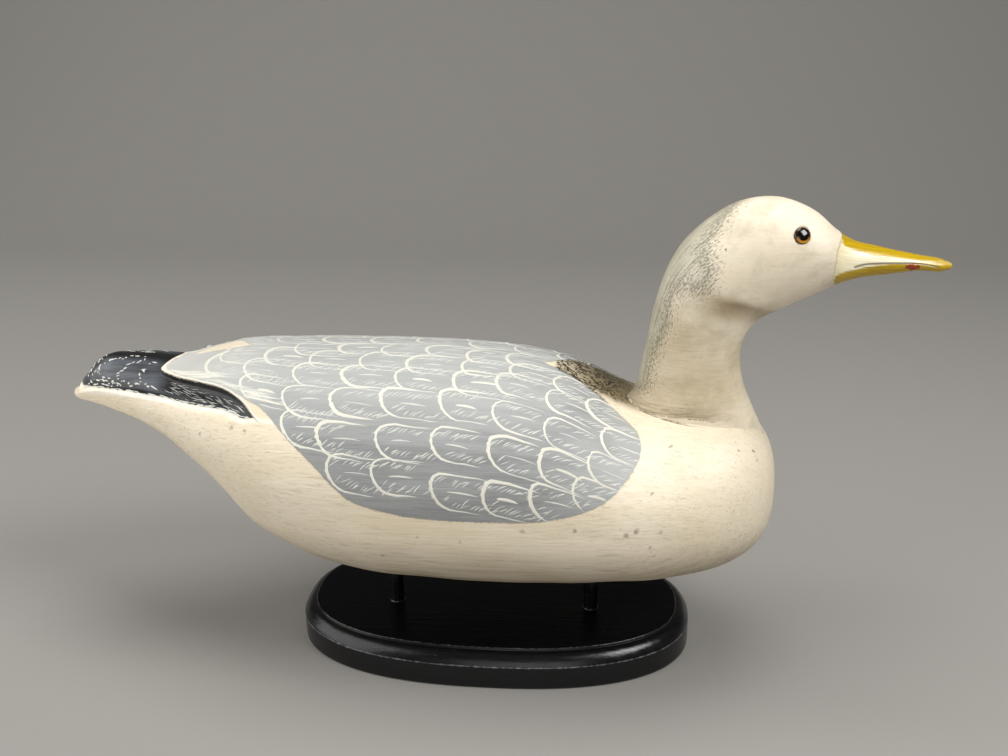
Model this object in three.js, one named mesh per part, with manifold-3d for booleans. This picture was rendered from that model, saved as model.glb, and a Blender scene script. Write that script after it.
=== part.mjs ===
// A painted wooden gull decoy on two dowels above an oval moulded base.
// Millimetres, +Z up, +X towards the bill. The bird's plane of symmetry is y = 0, and the origin is on the
// underside of the base, midway between the two dowels.
import * as THREE from "three";
import { mergeVertices } from "three/addons/utils/BufferGeometryUtils.js";
import Module from "manifold-3d";

const wasm = await Module();
wasm.setup();

const GAP = 0.3; // left between two pieces that meet

const BASE = {
  halfLength: 114.3, // a board of 9 by 4 3/4 inches
  halfWidth: 61,
  height: 22,
  squareness: 2.4, // 2 would be an ellipse
  ovoloStart: 40, // degrees of the quarter round that the arris cuts off
  setBack: 10, // the dowels stand this far in front of the board's own centre line
  arris: 14.3, // height of the sharp line above the plain band
  filletDrop: 1.6, // small step between the flat top and the rounded edge
  filletInset: 1.4,
  topInset: 8.5, // from the plain band in to the flat top
  columns: 56,
};

const DOWEL = { radius: 4, apart: 114, inBase: 12, inBody: 16 };

const EYE = { radius: 4.1, thickness: 3.4, dome: 1.5, at: [155.7, 250.9] };

// Lines of the body, as on a carver's side and top view: x and the height or half width there.
const BACK_LINE = [
  [-213, 178.2], [-190, 178], [-176, 176.5], [-165, 175.4], [-150, 178], [-137, 181], [-118, 181.7],
  [-45, 181.3], [0, 179.5], [40, 172.8], [59, 164.3], [70, 158.8], [82, 155], [110, 153.5], [160, 159],
];
const KEEL_LINE = [
  [-233.5, 149.5], [-220, 150.6], [-198, 147.3], [-173, 136.5], [-158, 125.6], [-150, 118.8], [-137, 104.5],
  [-118, 81], [-84, 67], [-45, 59.5], [0, 58], [40, 59], [80, 62], [160, 62],
];
const HALF_WIDTH = [
  [-233.5, 3.6], [-230, 8], [-226, 11.5], [-213, 17.5], [-198, 24.5], [-173, 35], [-150, 47], [-118, 61],
  [-84, 70], [-45, 73], [0, 74], [40, 73], [80, 69], [110, 64], [160, 59],
];
const WIDEST_LEVEL = [
  [-233.5, 151.5], [-218, 152.4], [-198, 151.4], [-173, 148], [-150, 141], [-118, 130], [-84, 121],
  [-45, 118], [0, 116], [40, 113], [80, 109], [110, 107], [160, 105],
];
const TAIL = { tip: -233.5, slabTop: 153.8, blockEnd: -230, blockFull: -206, endPower: 0.7 };
const BREAST = { start: 70, length: 85, topPower: 3.1, keelPower: 2.8, widthPower: 2.4 };
const SECTION = { upperPower: 2.15, lowerPower: 2.35 };

// The wing tips lie in a shallow step above the tail. Places on the body are an x and a section angle:
// 0 degrees is the widest line on one side, 90 the ridge.
const LEDGE_OUTER = [[-234, 10], [-218, 14], [-190, 20], [-164, 27], [-139, 29], [-113, 31]];
const LEDGE_INNER = [[-234, 22], [-213, 24], [-194, 31], [-172, 35], [-146, 36], [-113, 35.5]];
const WING_END = [
  [-113, 35.5], [-117, 39], [-121, 43], [-126, 46], [-133, 49], [-142, 51], [-156, 55], [-169, 58],
  [-173.5, 59.5], [-175, 62.5], [-174.5, 67], [-173, 75], [-170.6, 85], [-167, 95],
];
const LEFT_WING_SHORT = 13; // how much further forward the left wing's tip ends
const STEP = { depth: 2.6, lip: 0.5, edge: 3, fadeFrom: -113, fadeLength: 22 };

// Neck, head and bill as ribs between two side-view outlines: back x, back z, front x, front z, half width.
const RIBS = [
  [70, 150, 149, 136, 22], [78, 161, 140, 155, 20.5], [81, 173, 134.6, 169, 20],
  [84, 188.8, 132.6, 182.8, 20], [87, 205.5, 133.3, 189.9, 20.5], [91.1, 222.6, 137.1, 199, 21.2],
  [98.9, 239.7, 147.6, 206.7, 22.2], [111.3, 252.6, 158.2, 212.1, 23], [128, 262.9, 167.9, 216.8, 22.5],
  [147, 264.9, 174.1, 220.2, 20.5], [164.6, 258.2, 179.1, 221.7, 16.8], [175.5, 249.2, 183.8, 223.2, 12.3],
  [182.4, 245, 188.8, 224.5, 9.9], [198.2, 240.8, 200.9, 226.2, 7.9], [218, 236.7, 218, 228.6, 6.1],
  [228.6, 234.7, 228.6, 228.4, 4.7], [232, 233.3, 232, 229.5, 2.9],
];
const SHELF = { x: 100, level: 150.5, slope: -0.27 }; // flat seat of the neck, lower in front

const CREAM = new THREE.MeshStandardMaterial({ color: "#d9cdb2", roughness: 0.55, metalness: 0 });
const BLACK = new THREE.MeshStandardMaterial({ color: "#1b1a1c", roughness: 0.4, metalness: 0 });
const AMBER = new THREE.MeshStandardMaterial({ color: "#a8641c", roughness: 0.08, metalness: 0 });

const degrees = Math.PI / 180;
const clamp = (v, low, high) => Math.min(high, Math.max(low, v));
const smoothstep = (low, high, v) => {
  const t = clamp((v - low) / (high - low), 0, 1);
  return t * t * (3 - 2 * t);
};

// A smooth curve through [x, value] pairs. It doesn't overshoot them, unless it may flow on past a crest.
function along(pairs, x, flowing = false) {
  const last = pairs.length - 1;
  if (x <= pairs[0][0]) return pairs[0][1];
  if (x >= pairs[last][0]) return pairs[last][1];
  const slope = (i) => (pairs[i + 1][1] - pairs[i][1]) / (pairs[i + 1][0] - pairs[i][0]);
  const tangent = (i) => {
    if (i === 0) return slope(0);
    if (i === last) return slope(last - 1);
    const [before, after] = [slope(i - 1), slope(i)];
    if (flowing) {
      const [left, right] = [pairs[i][0] - pairs[i - 1][0], pairs[i + 1][0] - pairs[i][0]];
      return (before * right + after * left) / (left + right);
    }
    return before * after <= 0 ? 0 : (2 * before * after) / (before + after);
  };
  const i = pairs.findIndex(([at]) => at > x) - 1;
  const h = pairs[i + 1][0] - pairs[i][0];
  const t = (x - pairs[i][0]) / h;
  const [t2, t3] = [t * t, t * t * t];
  return (
    (2 * t3 - 3 * t2 + 1) * pairs[i][1] +
    (t3 - 2 * t2 + t) * h * tangent(i) +
    (3 * t2 - 2 * t3) * pairs[i + 1][1] +
    (t3 - t2) * h * tangent(i + 1)
  );
}

const power = (v, p) => Math.sign(v) * Math.abs(v) ** p;

// How much of the full section is left at x as the breast rounds off.
function breastLeft(x, p) {
  const s = clamp((x - BREAST.start) / BREAST.length, 0, 1);
  return (1 - s ** p) ** (1 / p);
}

// The ridge. The block of wing tips ends in a rounded slope, with the thin tail below it.
function backLevel(x) {
  const full = along(BACK_LINE, Math.max(x, TAIL.blockFull));
  const s = clamp((TAIL.blockFull - x) / (TAIL.blockFull - TAIL.blockEnd), 0, 1);
  return TAIL.slabTop + (full - TAIL.slabTop) * (1 - s * s) ** TAIL.endPower;
}

// Signed distance, in millimetres, of a place in the (x, angle) chart from the wings' rounded ends:
// positive on the wings. The chart's angle is turned to millimetres by the section's own size.
function onWing(x, angle, size) {
  const nearest = { d: Infinity, side: 1 };
  for (let i = 0; i < WING_END.length - 1; i++) {
    const [ax, aa] = WING_END[i];
    const [bx, ba] = WING_END[i + 1];
    const [ux, uy] = [bx - ax, (ba - aa) * size];
    const [px, py] = [x - ax, (angle - aa) * size];
    const t = clamp((px * ux + py * uy) / (ux * ux + uy * uy), 0, 1);
    const d = Math.hypot(px - t * ux, py - t * uy);
    if (d < nearest.d) {
      nearest.d = d;
      nearest.side = ux * py - uy * px < 0 ? 1 : -1;
    }
  }
  return nearest.d * nearest.side;
}

// How far the surface is set in below the plain body, for the step that the wing tips lie in.
function setIn(x, angle, halfWidth) {
  if (x > STEP.fadeFrom || x < TAIL.blockEnd || angle < 0) return 0;
  const size = halfWidth * degrees;
  const folded = Math.min(angle, 180 - angle);
  const ledge = smoothstep(along(LEDGE_OUTER, x), along(LEDGE_INNER, x), folded);
  const short = angle > 90 ? smoothstep(90, 78, folded) * smoothstep(50, 64, folded) : 0;
  const wing = onWing(x - LEFT_WING_SHORT * short, folded, size);
  const open = 1 - smoothstep(-STEP.edge, 0, wing);
  const lip = Math.exp(-((wing / STEP.edge - 0.5) ** 2) * 4) * ledge;
  const fade = smoothstep(STEP.fadeFrom, STEP.fadeFrom - STEP.fadeLength, x);
  const tailEnd = smoothstep(TAIL.blockEnd, TAIL.blockEnd + 6, x);
  return (STEP.depth * ledge * open - STEP.lip * lip) * fade * tailEnd;
}

// A point of the body's surface. Angles run from one widest line (0) over the back (90) and round (360).
function bodyPoint(x, angle) {
  const level = along(WIDEST_LEVEL, x);
  const upper = angle >= 0 && angle <= 180;
  const rise = upper
    ? (backLevel(x) - level) * breastLeft(x, BREAST.topPower)
    : (level - along(KEEL_LINE, x)) * breastLeft(x, BREAST.keelPower);
  const halfWidth = along(HALF_WIDTH, x) * breastLeft(x, BREAST.widthPower);
  const p = 2 / (upper ? SECTION.upperPower : SECTION.lowerPower);
  const [c, s] = [Math.cos(angle * degrees), Math.sin(angle * degrees)];
  const y = -halfWidth * power(c, p);
  const z = rise * power(s, p);
  const inward = upper ? setIn(x, angle, halfWidth) : 0;
  const shrink = 1 - inward / Math.max(1, Math.hypot(y, z));
  return new THREE.Vector3(x, y * shrink, level + z * shrink);
}

// A closed skin over rings of points, with a cap at each end.
function skin(rings) {
  const n = rings[0].length;
  const middle = (ring) =>
    ring.reduce((sum, p) => sum.add(p), new THREE.Vector3()).divideScalar(n);
  const points = [...rings.flat(), middle(rings[0]), middle(rings[rings.length - 1])];
  const [first, last] = [points.length - 2, points.length - 1];
  const index = [];
  for (let i = 0; i < n; i++) {
    const j = (i + 1) % n;
    for (let r = 0; r < rings.length - 1; r++) {
      const [a, b, c, d] = [r * n + i, r * n + j, (r + 1) * n + j, (r + 1) * n + i];
      index.push(a, c, b, a, d, c);
    }
    const end = (rings.length - 1) * n;
    index.push(first, i, j, last, end + j, end + i);
  }
  const geometry = new THREE.BufferGeometry().setFromPoints(points);
  geometry.setIndex(index);
  return geometry;
}

function solid(geometry) {
  const bare = geometry.clone();
  bare.deleteAttribute("normal");
  bare.deleteAttribute("uv");
  const merged = mergeVertices(bare, 1e-4);
  const made = new wasm.Manifold(
    new wasm.Mesh({
      numProp: 3,
      vertProperties: new Float32Array(merged.attributes.position.array),
      triVerts: new Uint32Array(merged.index.array),
    }),
  );
  if (made.volume() > 0) return made;
  const turned = merged.index.array.slice();
  for (let i = 0; i < turned.length; i += 3) [turned[i], turned[i + 1]] = [turned[i + 1], turned[i]];
  merged.setIndex(Array.from(turned));
  return solid(merged);
}

function piece(name, made, material) {
  const mesh = made.getMesh();
  const geometry = new THREE.BufferGeometry();
  geometry.setAttribute("position", new THREE.BufferAttribute(mesh.vertProperties, 3));
  geometry.setIndex(new THREE.BufferAttribute(mesh.triVerts, 1));
  geometry.computeVertexNormals();
  const result = new THREE.Mesh(geometry, material);
  result.name = name;
  return result;
}

const range = (from, to, count) =>
  Array.from({ length: count }, (_, i) => from + ((to - from) * i) / (count - 1));

function bodyStations() {
  const nose = range(6, 87, 10).map((a) => BREAST.start + BREAST.length * Math.sin(a * degrees));
  return [
    ...[0, 1, 3.5, 4.5, 7, 10, 14, 18.5].map((d) => TAIL.tip + d),
    ...range(-208, -182, 5),
    ...range(-179, -109, 18),
    ...range(-99, BREAST.start, 16),
    ...nose,
  ];
}

// Columns of the body's skin, close together where the wing step runs and sparse below.
function bodyAngles() {
  const side = [0, 9, 17, 23, 29, 35, 41, 47, 53, 59, 65, 71, 77, 84];
  const over = [...side, 90, ...side.map((a) => 180 - a).reverse()];
  return [...over, ...range(-162, -18, 9)];
}

// Everything above the neck's seat, as a large tilted block; lowered moves its face down.
function aboveShelf(lowered) {
  const block = new THREE.BoxGeometry(400, 200, 300);
  block.translate(0, 0, 150);
  block.rotateY(-Math.atan(SHELF.slope));
  block.translate(SHELF.x, 0, SHELF.level - lowered);
  return solid(block);
}

function rib(row, grow) {
  const [bx, bz, fx, fz, halfWidth] = row;
  const middle = new THREE.Vector2((bx + fx) / 2, (bz + fz) / 2);
  const half = new THREE.Vector2((bx - fx) / 2, (bz - fz) / 2);
  half.setLength(half.length() + grow);
  return { middle, half, halfWidth: halfWidth + grow };
}

// The neck, head and bill, made larger all round by grow.
function headSkin(grow, perRib, columns) {
  const place = [0];
  for (let i = 1; i < RIBS.length; i++) {
    const step = rib(RIBS[i], 0).middle.distanceTo(rib(RIBS[i - 1], 0).middle);
    place.push(place[i - 1] + step);
  }
  const lines = RIBS[0].map((_, k) => RIBS.map((row, i) => [place[i], row[k]]));
  const rings = [];
  for (let i = 0; i < RIBS.length - 1; i++) {
    for (let k = 0; k < perRib; k++) {
      const at = place[i] + ((place[i + 1] - place[i]) * k) / perRib;
      rings.push(rib(lines.map((line) => along(line, at, true)), grow));
    }
  }
  rings.push(rib(RIBS[RIBS.length - 1], grow));
  return skin(
    rings.map(({ middle, half, halfWidth }) =>
      range(0, 360 - 360 / columns, columns).map((a) => {
        const [c, s] = [Math.cos(a * degrees), Math.sin(a * degrees)];
        return new THREE.Vector3(
          middle.x + half.x * s,
          -halfWidth * c,
          middle.y + half.y * s,
        );
      }),
    ),
  );
}

// Where the head's side is at the eye, and which way it faces there.
function eyeSeat(head, side) {
  const [x, z] = EYE.at;
  const mesh = new THREE.Mesh(head, new THREE.MeshBasicMaterial({ side: THREE.DoubleSide }));
  const reach = (dx, dz) => {
    const from = new THREE.Vector3(x + dx, side * 100, z + dz);
    const ray = new THREE.Raycaster(from, new THREE.Vector3(0, -side, 0));
    return ray.intersectObject(mesh)[0].point;
  };
  const centre = reach(0, 0);
  const across = reach(3, 0).sub(reach(-3, 0));
  const up = reach(0, 3).sub(reach(0, -3));
  const out = new THREE.Vector3().crossVectors(across, up).normalize();
  if (out.y * side < 0) out.negate();
  return { centre, out };
}

function turnedAlong(geometry, { centre, out }) {
  const turn = new THREE.Quaternion().setFromUnitVectors(new THREE.Vector3(0, 1, 0), out);
  return geometry.applyQuaternion(turn).translate(centre.x, centre.y, centre.z);
}

function eyeSolid(seat) {
  const front = range(90, 0, 6).map(
    (a) => new THREE.Vector2(EYE.radius * Math.sin(a * degrees), EYE.dome * Math.cos(a * degrees)),
  );
  const back = EYE.dome - EYE.thickness;
  const profile = [new THREE.Vector2(0, back), new THREE.Vector2(EYE.radius, back), ...front];
  return solid(turnedAlong(new THREE.LatheGeometry(profile, 20), seat));
}

function socketSolid(seat) {
  const radius = EYE.radius + GAP;
  const back = EYE.dome - EYE.thickness - GAP;
  const cut = new THREE.CylinderGeometry(radius, radius, 10, 20);
  cut.translate(0, 5 + back, 0);
  return solid(turnedAlong(cut, seat));
}

function dowelGeometry(x, from, to, radius) {
  const rod = new THREE.CylinderGeometry(radius, radius, to - from, 24);
  rod.rotateX(90 * degrees);
  rod.translate(x, 0, (from + to) / 2);
  return rod;
}

// The board: a plain band, a rounded edge above the arris, a small step and a flat top.
function baseSkin() {
  const ovolo = { across: BASE.topInset - BASE.filletInset, up: BASE.height - BASE.arris - BASE.filletDrop };
  const start = BASE.ovoloStart * degrees;
  const profile = [
    [1, 0],
    [0, 1],
    [0, BASE.arris],
    ...range(BASE.ovoloStart + 10, 90, 5).map((a) => [
      ovolo.across * (1 - Math.cos(a * degrees) / Math.cos(start)),
      BASE.arris + (ovolo.up * (Math.sin(a * degrees) - Math.sin(start))) / (1 - Math.sin(start)),
    ]),
    [BASE.topInset - BASE.filletInset, BASE.height - 0.4],
    [BASE.topInset - BASE.filletInset + 0.5, BASE.height],
  ];
  return skin(
    profile.map(([inset, z]) =>
      range(0, 360 - 360 / BASE.columns, BASE.columns).map((a) => {
        const [c, s] = [Math.cos(a * degrees), Math.sin(a * degrees)];
        const p = 2 / BASE.squareness;
        return new THREE.Vector3(
          (BASE.halfLength - inset) * power(c, p),
          BASE.setBack + (BASE.halfWidth - inset) * power(s, p),
          z,
        );
      }),
    ),
  );
}

const dowels = [
  ["post_rear", -DOWEL.apart / 2],
  ["post_front", DOWEL.apart / 2],
].map(([name, x]) => {
  const from = BASE.height - DOWEL.inBase;
  const to = bodyPoint(x, -90).z + DOWEL.inBody;
  return { name, x, from, to };
});

const bodySkin = skin(bodyStations().map((x) => bodyAngles().map((a) => bodyPoint(x, a))));
const headGeometry = headSkin(0, 3, 28);
const neckRoom = solid(headSkin(GAP, 3, 28)).intersect(aboveShelf(GAP));

const sides = { left: 1, right: -1 };
const seats = Object.entries(sides).map(([name, side]) => [name, eyeSeat(headGeometry, side)]);

let body = solid(bodySkin).subtract(neckRoom);
let base = solid(baseSkin());
for (const { x, from, to } of dowels) {
  const hole = solid(dowelGeometry(x, from - GAP, to + GAP, DOWEL.radius + GAP));
  body = body.subtract(hole);
  base = base.subtract(hole);
}

let head = solid(headGeometry).intersect(aboveShelf(0));
for (const [, seat] of seats) head = head.subtract(socketSolid(seat));

const group = new THREE.Group();
group.add(piece("base", base, BLACK));
for (const { name, x, from, to } of dowels) {
  group.add(piece(name, solid(dowelGeometry(x, from, to, DOWEL.radius)), BLACK));
}
group.add(piece("body", body, CREAM));
group.add(piece("head", head, CREAM));
for (const [name, seat] of seats) group.add(piece("eye_" + name, eyeSolid(seat), AMBER));

export default group;
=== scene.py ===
"""A painted wooden gull decoy on two dowels above a black oval base.

Lengths in this file are millimetres, and finished meshes are in metres. X runs from tail to bill, and the
bird's plane of symmetry is y = 0. Places on the body are an x and a section angle: 0 degrees is the widest
line on the right side, 90 the ridge, 180 the widest line on the left side and -90 the keel. Places on the
neck and head are the way along it and an angle of the same kind.
"""

import math

import bmesh
import bpy
import numpy as np
from mathutils import Matrix, Vector


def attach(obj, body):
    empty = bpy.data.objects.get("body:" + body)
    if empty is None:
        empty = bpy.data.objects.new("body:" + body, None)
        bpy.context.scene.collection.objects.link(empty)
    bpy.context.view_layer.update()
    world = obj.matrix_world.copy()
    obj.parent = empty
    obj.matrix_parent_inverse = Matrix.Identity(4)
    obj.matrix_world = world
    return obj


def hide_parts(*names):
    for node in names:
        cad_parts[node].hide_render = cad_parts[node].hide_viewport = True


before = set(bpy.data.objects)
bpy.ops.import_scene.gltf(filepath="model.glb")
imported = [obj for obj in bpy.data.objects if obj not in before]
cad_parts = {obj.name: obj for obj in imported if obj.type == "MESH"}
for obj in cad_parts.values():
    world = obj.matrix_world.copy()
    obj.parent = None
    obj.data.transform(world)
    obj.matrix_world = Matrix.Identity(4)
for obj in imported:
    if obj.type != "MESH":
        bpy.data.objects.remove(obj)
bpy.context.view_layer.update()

bl_info = {
    "name": "Gull Decoy",
    "version": (1, 0, 0),
    "blender": (4, 5, 0),
    "location": "3D View > Sidebar > Gull Decoy",
    "description": "Builds a painted wooden gull decoy on its base",
    "category": "Add Mesh",
}

MM = 0.001
DEGREE = math.pi / 180

# Lines of the body: x and the height or half width there.
BACK_LINE = [
    (-213, 178.2), (-190, 178), (-176, 176.5), (-165, 175.4), (-150, 178), (-137, 181), (-118, 181.7),
    (-45, 181.3), (0, 179.5), (40, 172.8), (59, 164.3), (70, 158.8), (82, 155), (110, 153.5), (160, 159),
]
KEEL_LINE = [
    (-233.5, 149.5), (-220, 150.6), (-198, 147.3), (-173, 136.5), (-158, 125.6), (-150, 118.8),
    (-137, 104.5), (-118, 81), (-84, 67), (-45, 59.5), (0, 58), (40, 59), (80, 62), (160, 62),
]
HALF_WIDTH = [
    (-233.5, 3.6), (-230, 8), (-226, 11.5), (-213, 17.5), (-198, 24.5), (-173, 35), (-150, 47),
    (-118, 61), (-84, 70), (-45, 73), (0, 74), (40, 73), (80, 69), (110, 64), (160, 59),
]
WIDEST_LEVEL = [
    (-233.5, 151.5), (-218, 152.4), (-198, 151.4), (-173, 148), (-150, 141), (-118, 130), (-84, 121),
    (-45, 118), (0, 116), (40, 113), (80, 109), (110, 107), (160, 105),
]
TAIL_TIP = -233.5
TAIL_SLAB_TOP = 153.8
BLOCK_END, BLOCK_FULL, BLOCK_POWER = -230, -206, 0.7
BREAST_START, BREAST_LENGTH = 70, 85
BREAST_TOP, BREAST_KEEL, BREAST_WIDTH = 3.1, 2.8, 2.4
UPPER_POWER, LOWER_POWER = 2.15, 2.35
BODY_ROWS, UPPER_COLUMNS, LOWER_COLUMNS = 372, 152, 68

# The step that the wing tips lie in, and the wings' own rounded ends.
LEDGE_OUTER = [(-234, 10), (-218, 14), (-190, 20), (-164, 27), (-139, 29), (-113, 31)]
LEDGE_INNER = [(-234, 22), (-213, 24), (-194, 31), (-172, 35), (-146, 36), (-113, 35.5)]
WING_END = [
    (-113, 35.5), (-117, 39), (-121, 43), (-126, 46), (-133, 49), (-142, 51), (-156, 55), (-169, 58),
    (-173.5, 59.5), (-175, 62.5), (-174.5, 67), (-173, 75), (-170.6, 85), (-167, 95),
]
LEFT_WING_SHORT = 13  # how much further forward the left wing's tip ends
STEP_FADE_FROM, STEP_FADE_LENGTH, STEP_TAIL_FADE = -113, 22, 6

# The gouged hollow under the wing's lip, deepest at an x and a distance from the wing's end.
HOLLOW_DEPTH = 1.6
HOLLOW_X, HOLLOW_LENGTH = -146, 24
HOLLOW_FROM_WING, HOLLOW_WIDTH = 5.5, 4.5

# Ribs of the neck, head and bill: back x, back z, front x, front z, half width.
RIBS = [
    (70, 150, 149, 136, 22), (78, 161, 140, 155, 20.5), (81, 173, 134.6, 169, 20),
    (84, 188.8, 132.6, 182.8, 20), (87, 205.5, 133.3, 189.9, 20.5), (91.1, 222.6, 137.1, 199, 21.2),
    (98.9, 239.7, 147.6, 206.7, 22.2), (111.3, 252.6, 158.2, 212.1, 23), (128, 262.9, 167.9, 216.8, 22.5),
    (147, 264.9, 174.1, 220.2, 20.5), (164.6, 258.2, 179.1, 221.7, 16.8),
    (175.5, 249.2, 183.8, 223.2, 12.3), (182.4, 245, 188.8, 224.5, 9.9), (198.2, 240.8, 200.9, 226.2, 7.9),
    (218, 236.7, 218, 228.6, 6.1), (228.6, 234.7, 228.6, 228.4, 4.7), (232, 233.3, 232, 229.5, 2.9),
]
HEAD_ROWS, HEAD_COLUMNS = 300, 200
BILL_TIP_ROWS, BILL_TIP_LENGTH = 4, 0.8
NECK_FOOT = (111, 0, 145)  # middle of the flat underside that stands on the body
BILL_STEP = 0.35  # how far the bill's surface lies below the face
MOUTH_DEPTH, MOUTH_WIDTH = 0.25, 0.4
CHEEK_RISE, CHEEK_MIDDLE, CHEEK_REACH = 0.5, 4, 6
CREASE_DEPTH, CREASE_REACH = 0.9, 8
DIRT_AND_SHADE_HIGHER_AT_SIDES, DIRT_AND_SHADE_HIGHER_IN_FRONT = 2.8, 3

# The neck's oval where it stands on the body, seen from above.
NECK_MIDDLE, NECK_HALF_LENGTH, NECK_HALF_WIDTH = 109, 32.5, 20.5
PUTTY_COLUMNS = 320
PUTTY_WIDTH, PUTTY_UNEVENNESS, PUTTY_LEAST, PUTTY_MOST = 0.9, 0.4, 0.4, 2

# Edges of the painted areas on the body, from the ridge round one side and back to the ridge.
GREY_EDGE = [
    (29, 90), (44, 85.5), (60, 79), (72, 71), (80, 62.5), (82, 53), (78.5, 40), (70, 26), (61, 16.5),
    (45, 8), (20, 3), (-20, 2), (-50, 3.5), (-66, 7.5), (-80, 19), (-97, 32), (-110, 43), (-117, 45.5),
    (-124, 48), (-134, 51), (-146, 54), (-158, 57.5), (-168, 60.5), (-172.5, 64), (-172.5, 68),
    (-171, 76), (-168.5, 85), (-165, 92), (-157, 92), (-148, 89.5), (-138, 88), (-129, 90),
]
BLACK_EDGE = [
    (-100, 38.5), (-106, 38), (-112, 37), (-117, 35.8), (-122, 34.5), (-132, 36), (-144, 34.5), (-157, 34),
    (-169, 32), (-181, 27.5), (-190, 25.5), (-200, 23), (-210, 20.5), (-218, 22), (-224, 32), (-226, 45),
    (-227, 60), (-227.5, 90),
]

PAST_RIDGE = 120  # an angle beyond the ridge, where the outlines of painted areas close
PAST_BREAST, PAST_BILL = 200, 260  # an x and a way beyond the body and head, where others close
CREAM_LEFT = 14  # degrees that the cream at the ridge's ends reaches further down on the left side
SLAB_BAND_BELOW, SLAB_BAND_WIDTH = 1.6, 1.5

# Stretches that start, are full, fade and end: the painted sheen on the black by section angle, and the wear
# of the khaki V behind the neck, its squiggles and the ones along its edge by x.
SHEEN_ANGLES = (28, 42, 66, 88)
SHEEN_X = (-168, -180)
KHAKI_X, SQUIGGLES_X, EDGE_SQUIGGLES_X = (38, 62, 80, 88), (34, 40, 56, 88), (40, 52, 60, 82)
KHAKI_RIGHT, KHAKI_LEFT = (-17, -5), (34, 26)  # y where it starts and is full on either side
NECK_GRIME_WIDTH = 1.6

# Feathers on the grey: the x and section angle of each rounded end, row by row.
FEATHERS = [
    [(-74, 19), (-51, 19), (-21, 15), (4, 14), (27, 15), (48, 21)],
    [(-99, 37), (-80, 34), (-50, 35), (-22, 36), (6, 34), (31, 32), (55, 37)],
    [(-125, 54), (-101, 51), (-76, 53), (-50, 54), (-20, 55), (7, 52), (33, 48), (61, 53)],
    [(-149, 72), (-126, 67), (-99, 68), (-73, 68), (-45, 68), (-15, 68), (7, 70), (33, 65), (53, 70)],
    [(-143, 80), (-118, 80), (-93, 79), (-66, 79), (-41, 78), (-12, 79), (13, 80), (36, 77)],
    [(-104, 88), (-81, 90), (-57, 89), (-33, 90), (-11, 88), (10, 89)],
]
FEATHER_LENGTH, FEATHER_HEIGHT, FEATHER_NOSE = 31, 18, 10
FEATHER_SLANT = 0.3  # how far the lower half of a feather lies ahead of its upper half
STROKE_PLACES = 17  # places along a long stroke
STROKE_SUNK = 0.03
SCRATCHES, DABS, STREAKS = 60, 90, 30  # fine strokes at each wing's end

# White dashes on the black wing tips, as arcs of short marks.
DASH_ARCS = [
    [(-216, 88), (-220, 67), (-222, 59), (-223, 46)],
    [(-186, 84), (-199, 78), (-210, 64), (-218, 46), (-216, 34), (-202, 30)],
    [(-187, 80), (-196, 62), (-201, 44), (-199, 38), (-186, 36)],
    [(-181, 76), (-186, 60), (-187, 48), (-184, 40), (-176, 38)],
    [(-224, 32), (-209, 27), (-199, 30), (-189, 33)],
    [(-212, 86), (-217, 72), (-220, 56), (-219, 42)],
    [(-213, 56), (-214, 44), (-209, 36), (-198, 33)],
]
DASH_SPACING = 2.3

EYE_AT = (155.7, 250.9)
EYE_RADIUS, EYE_DOME, EYE_SUNK = 4.1, 1.5, 1.2
SOCKET_DEPTH, SOCKET_RIM = 1.1, 0.15

# Marks on the head, as way along it and angle.
BILL_EDGE = [(148.6, 100), (148.5, 72), (146.4, 43), (142.6, 16), (138.6, -10), (133.9, -34), (130.1, -56),
             (129.5, -100)]
MOUTH = [(150.6, -13), (156.8, -2), (163.9, 4), (170.8, 8), (177.5, 11), (183.3, 12), (189.3, 7), (193, 0)]
UPPER_YELLOW = [(148.3, 44), (155.2, 48), (160.3, 43), (164.8, 42), (171.7, 42), (178.8, 45), (188.8, 61),
                (196.8, 86)]
LOWER_YELLOW = [(134, -50), (136.8, -42), (140.6, -36), (153, -26), (163.7, -14), (171.2, -5), (176.1, 0),
                (185.9, 6), (199, 8)]
NAPE = [(117.6, 100), (112.7, 77), (104.7, 64), (94.8, 49), (88.1, 26), (75.6, 15), (72.9, 32), (67.6, 46),
        (52.7, 42), (37.8, 52), (20.7, 54), (9.9, 100)]
JAW = [(76, 18), (76.5, 4), (77.8, -8), (80.1, -18), (81.6, -32), (82.9, -46), (84, -100)]

# Flecks and dents in the body's paint, as x, angle, radius and depth of colour, and one on the
# head as way, angle and radius.
FLECKS = [
    (87, 27, 0.9, 1.0), (-29, -6, 1.4, 0.35), (-7, -7, 1.2, 0.4), (24, 0, 1.5, 0.5), (50, 2, 1.6, 0.5),
    (75, 2, 1.8, 0.5), (80, 4.5, 2.0, 0.55), (92, 4, 1.5, 0.45), (87, -4, 1.3, 0.4), (-48, -20, 1.3, 0.4),
    (-145, 15, 1.2, 0.5), (-126, 27, 1.4, 0.5), (-119, 28, 1.2, 0.5), (136, 72, 0.9, 0.6),
    (142, 67, 0.8, 0.6), (140, 54, 0.8, 0.6), (142, 47, 0.8, 0.6), (130, 44, 0.8, 0.6), (132, 53, 0.8, 0.6),
]
HEAD_FLECK = (97.6, 36, 0.6)
RED_AT, RED_STRETCH = (180, -14), 1.4

BASE_HALF_LENGTH, BASE_HALF_WIDTH, BASE_HEIGHT = 114.3, 61, 22
BASE_SQUARENESS, BASE_SET_BACK, BASE_ARRIS = 2.4, 10, 14.3
BASE_OVOLO_START = 40  # degrees of the quarter round that the arris cuts off
BASE_TOP_INSET, BASE_FILLET_INSET, BASE_FILLET_DROP = 8.5, 1.4, 1.6
DOWEL_RADIUS, DOWELS_APART, DOWEL_IN_BASE, DOWEL_IN_BODY = 4, 114, 12, 16
DOWEL_CHAMFER, GLUE_WIDTH, GLUE_HEIGHT = 0.4, 1.1, 1.3

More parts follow.
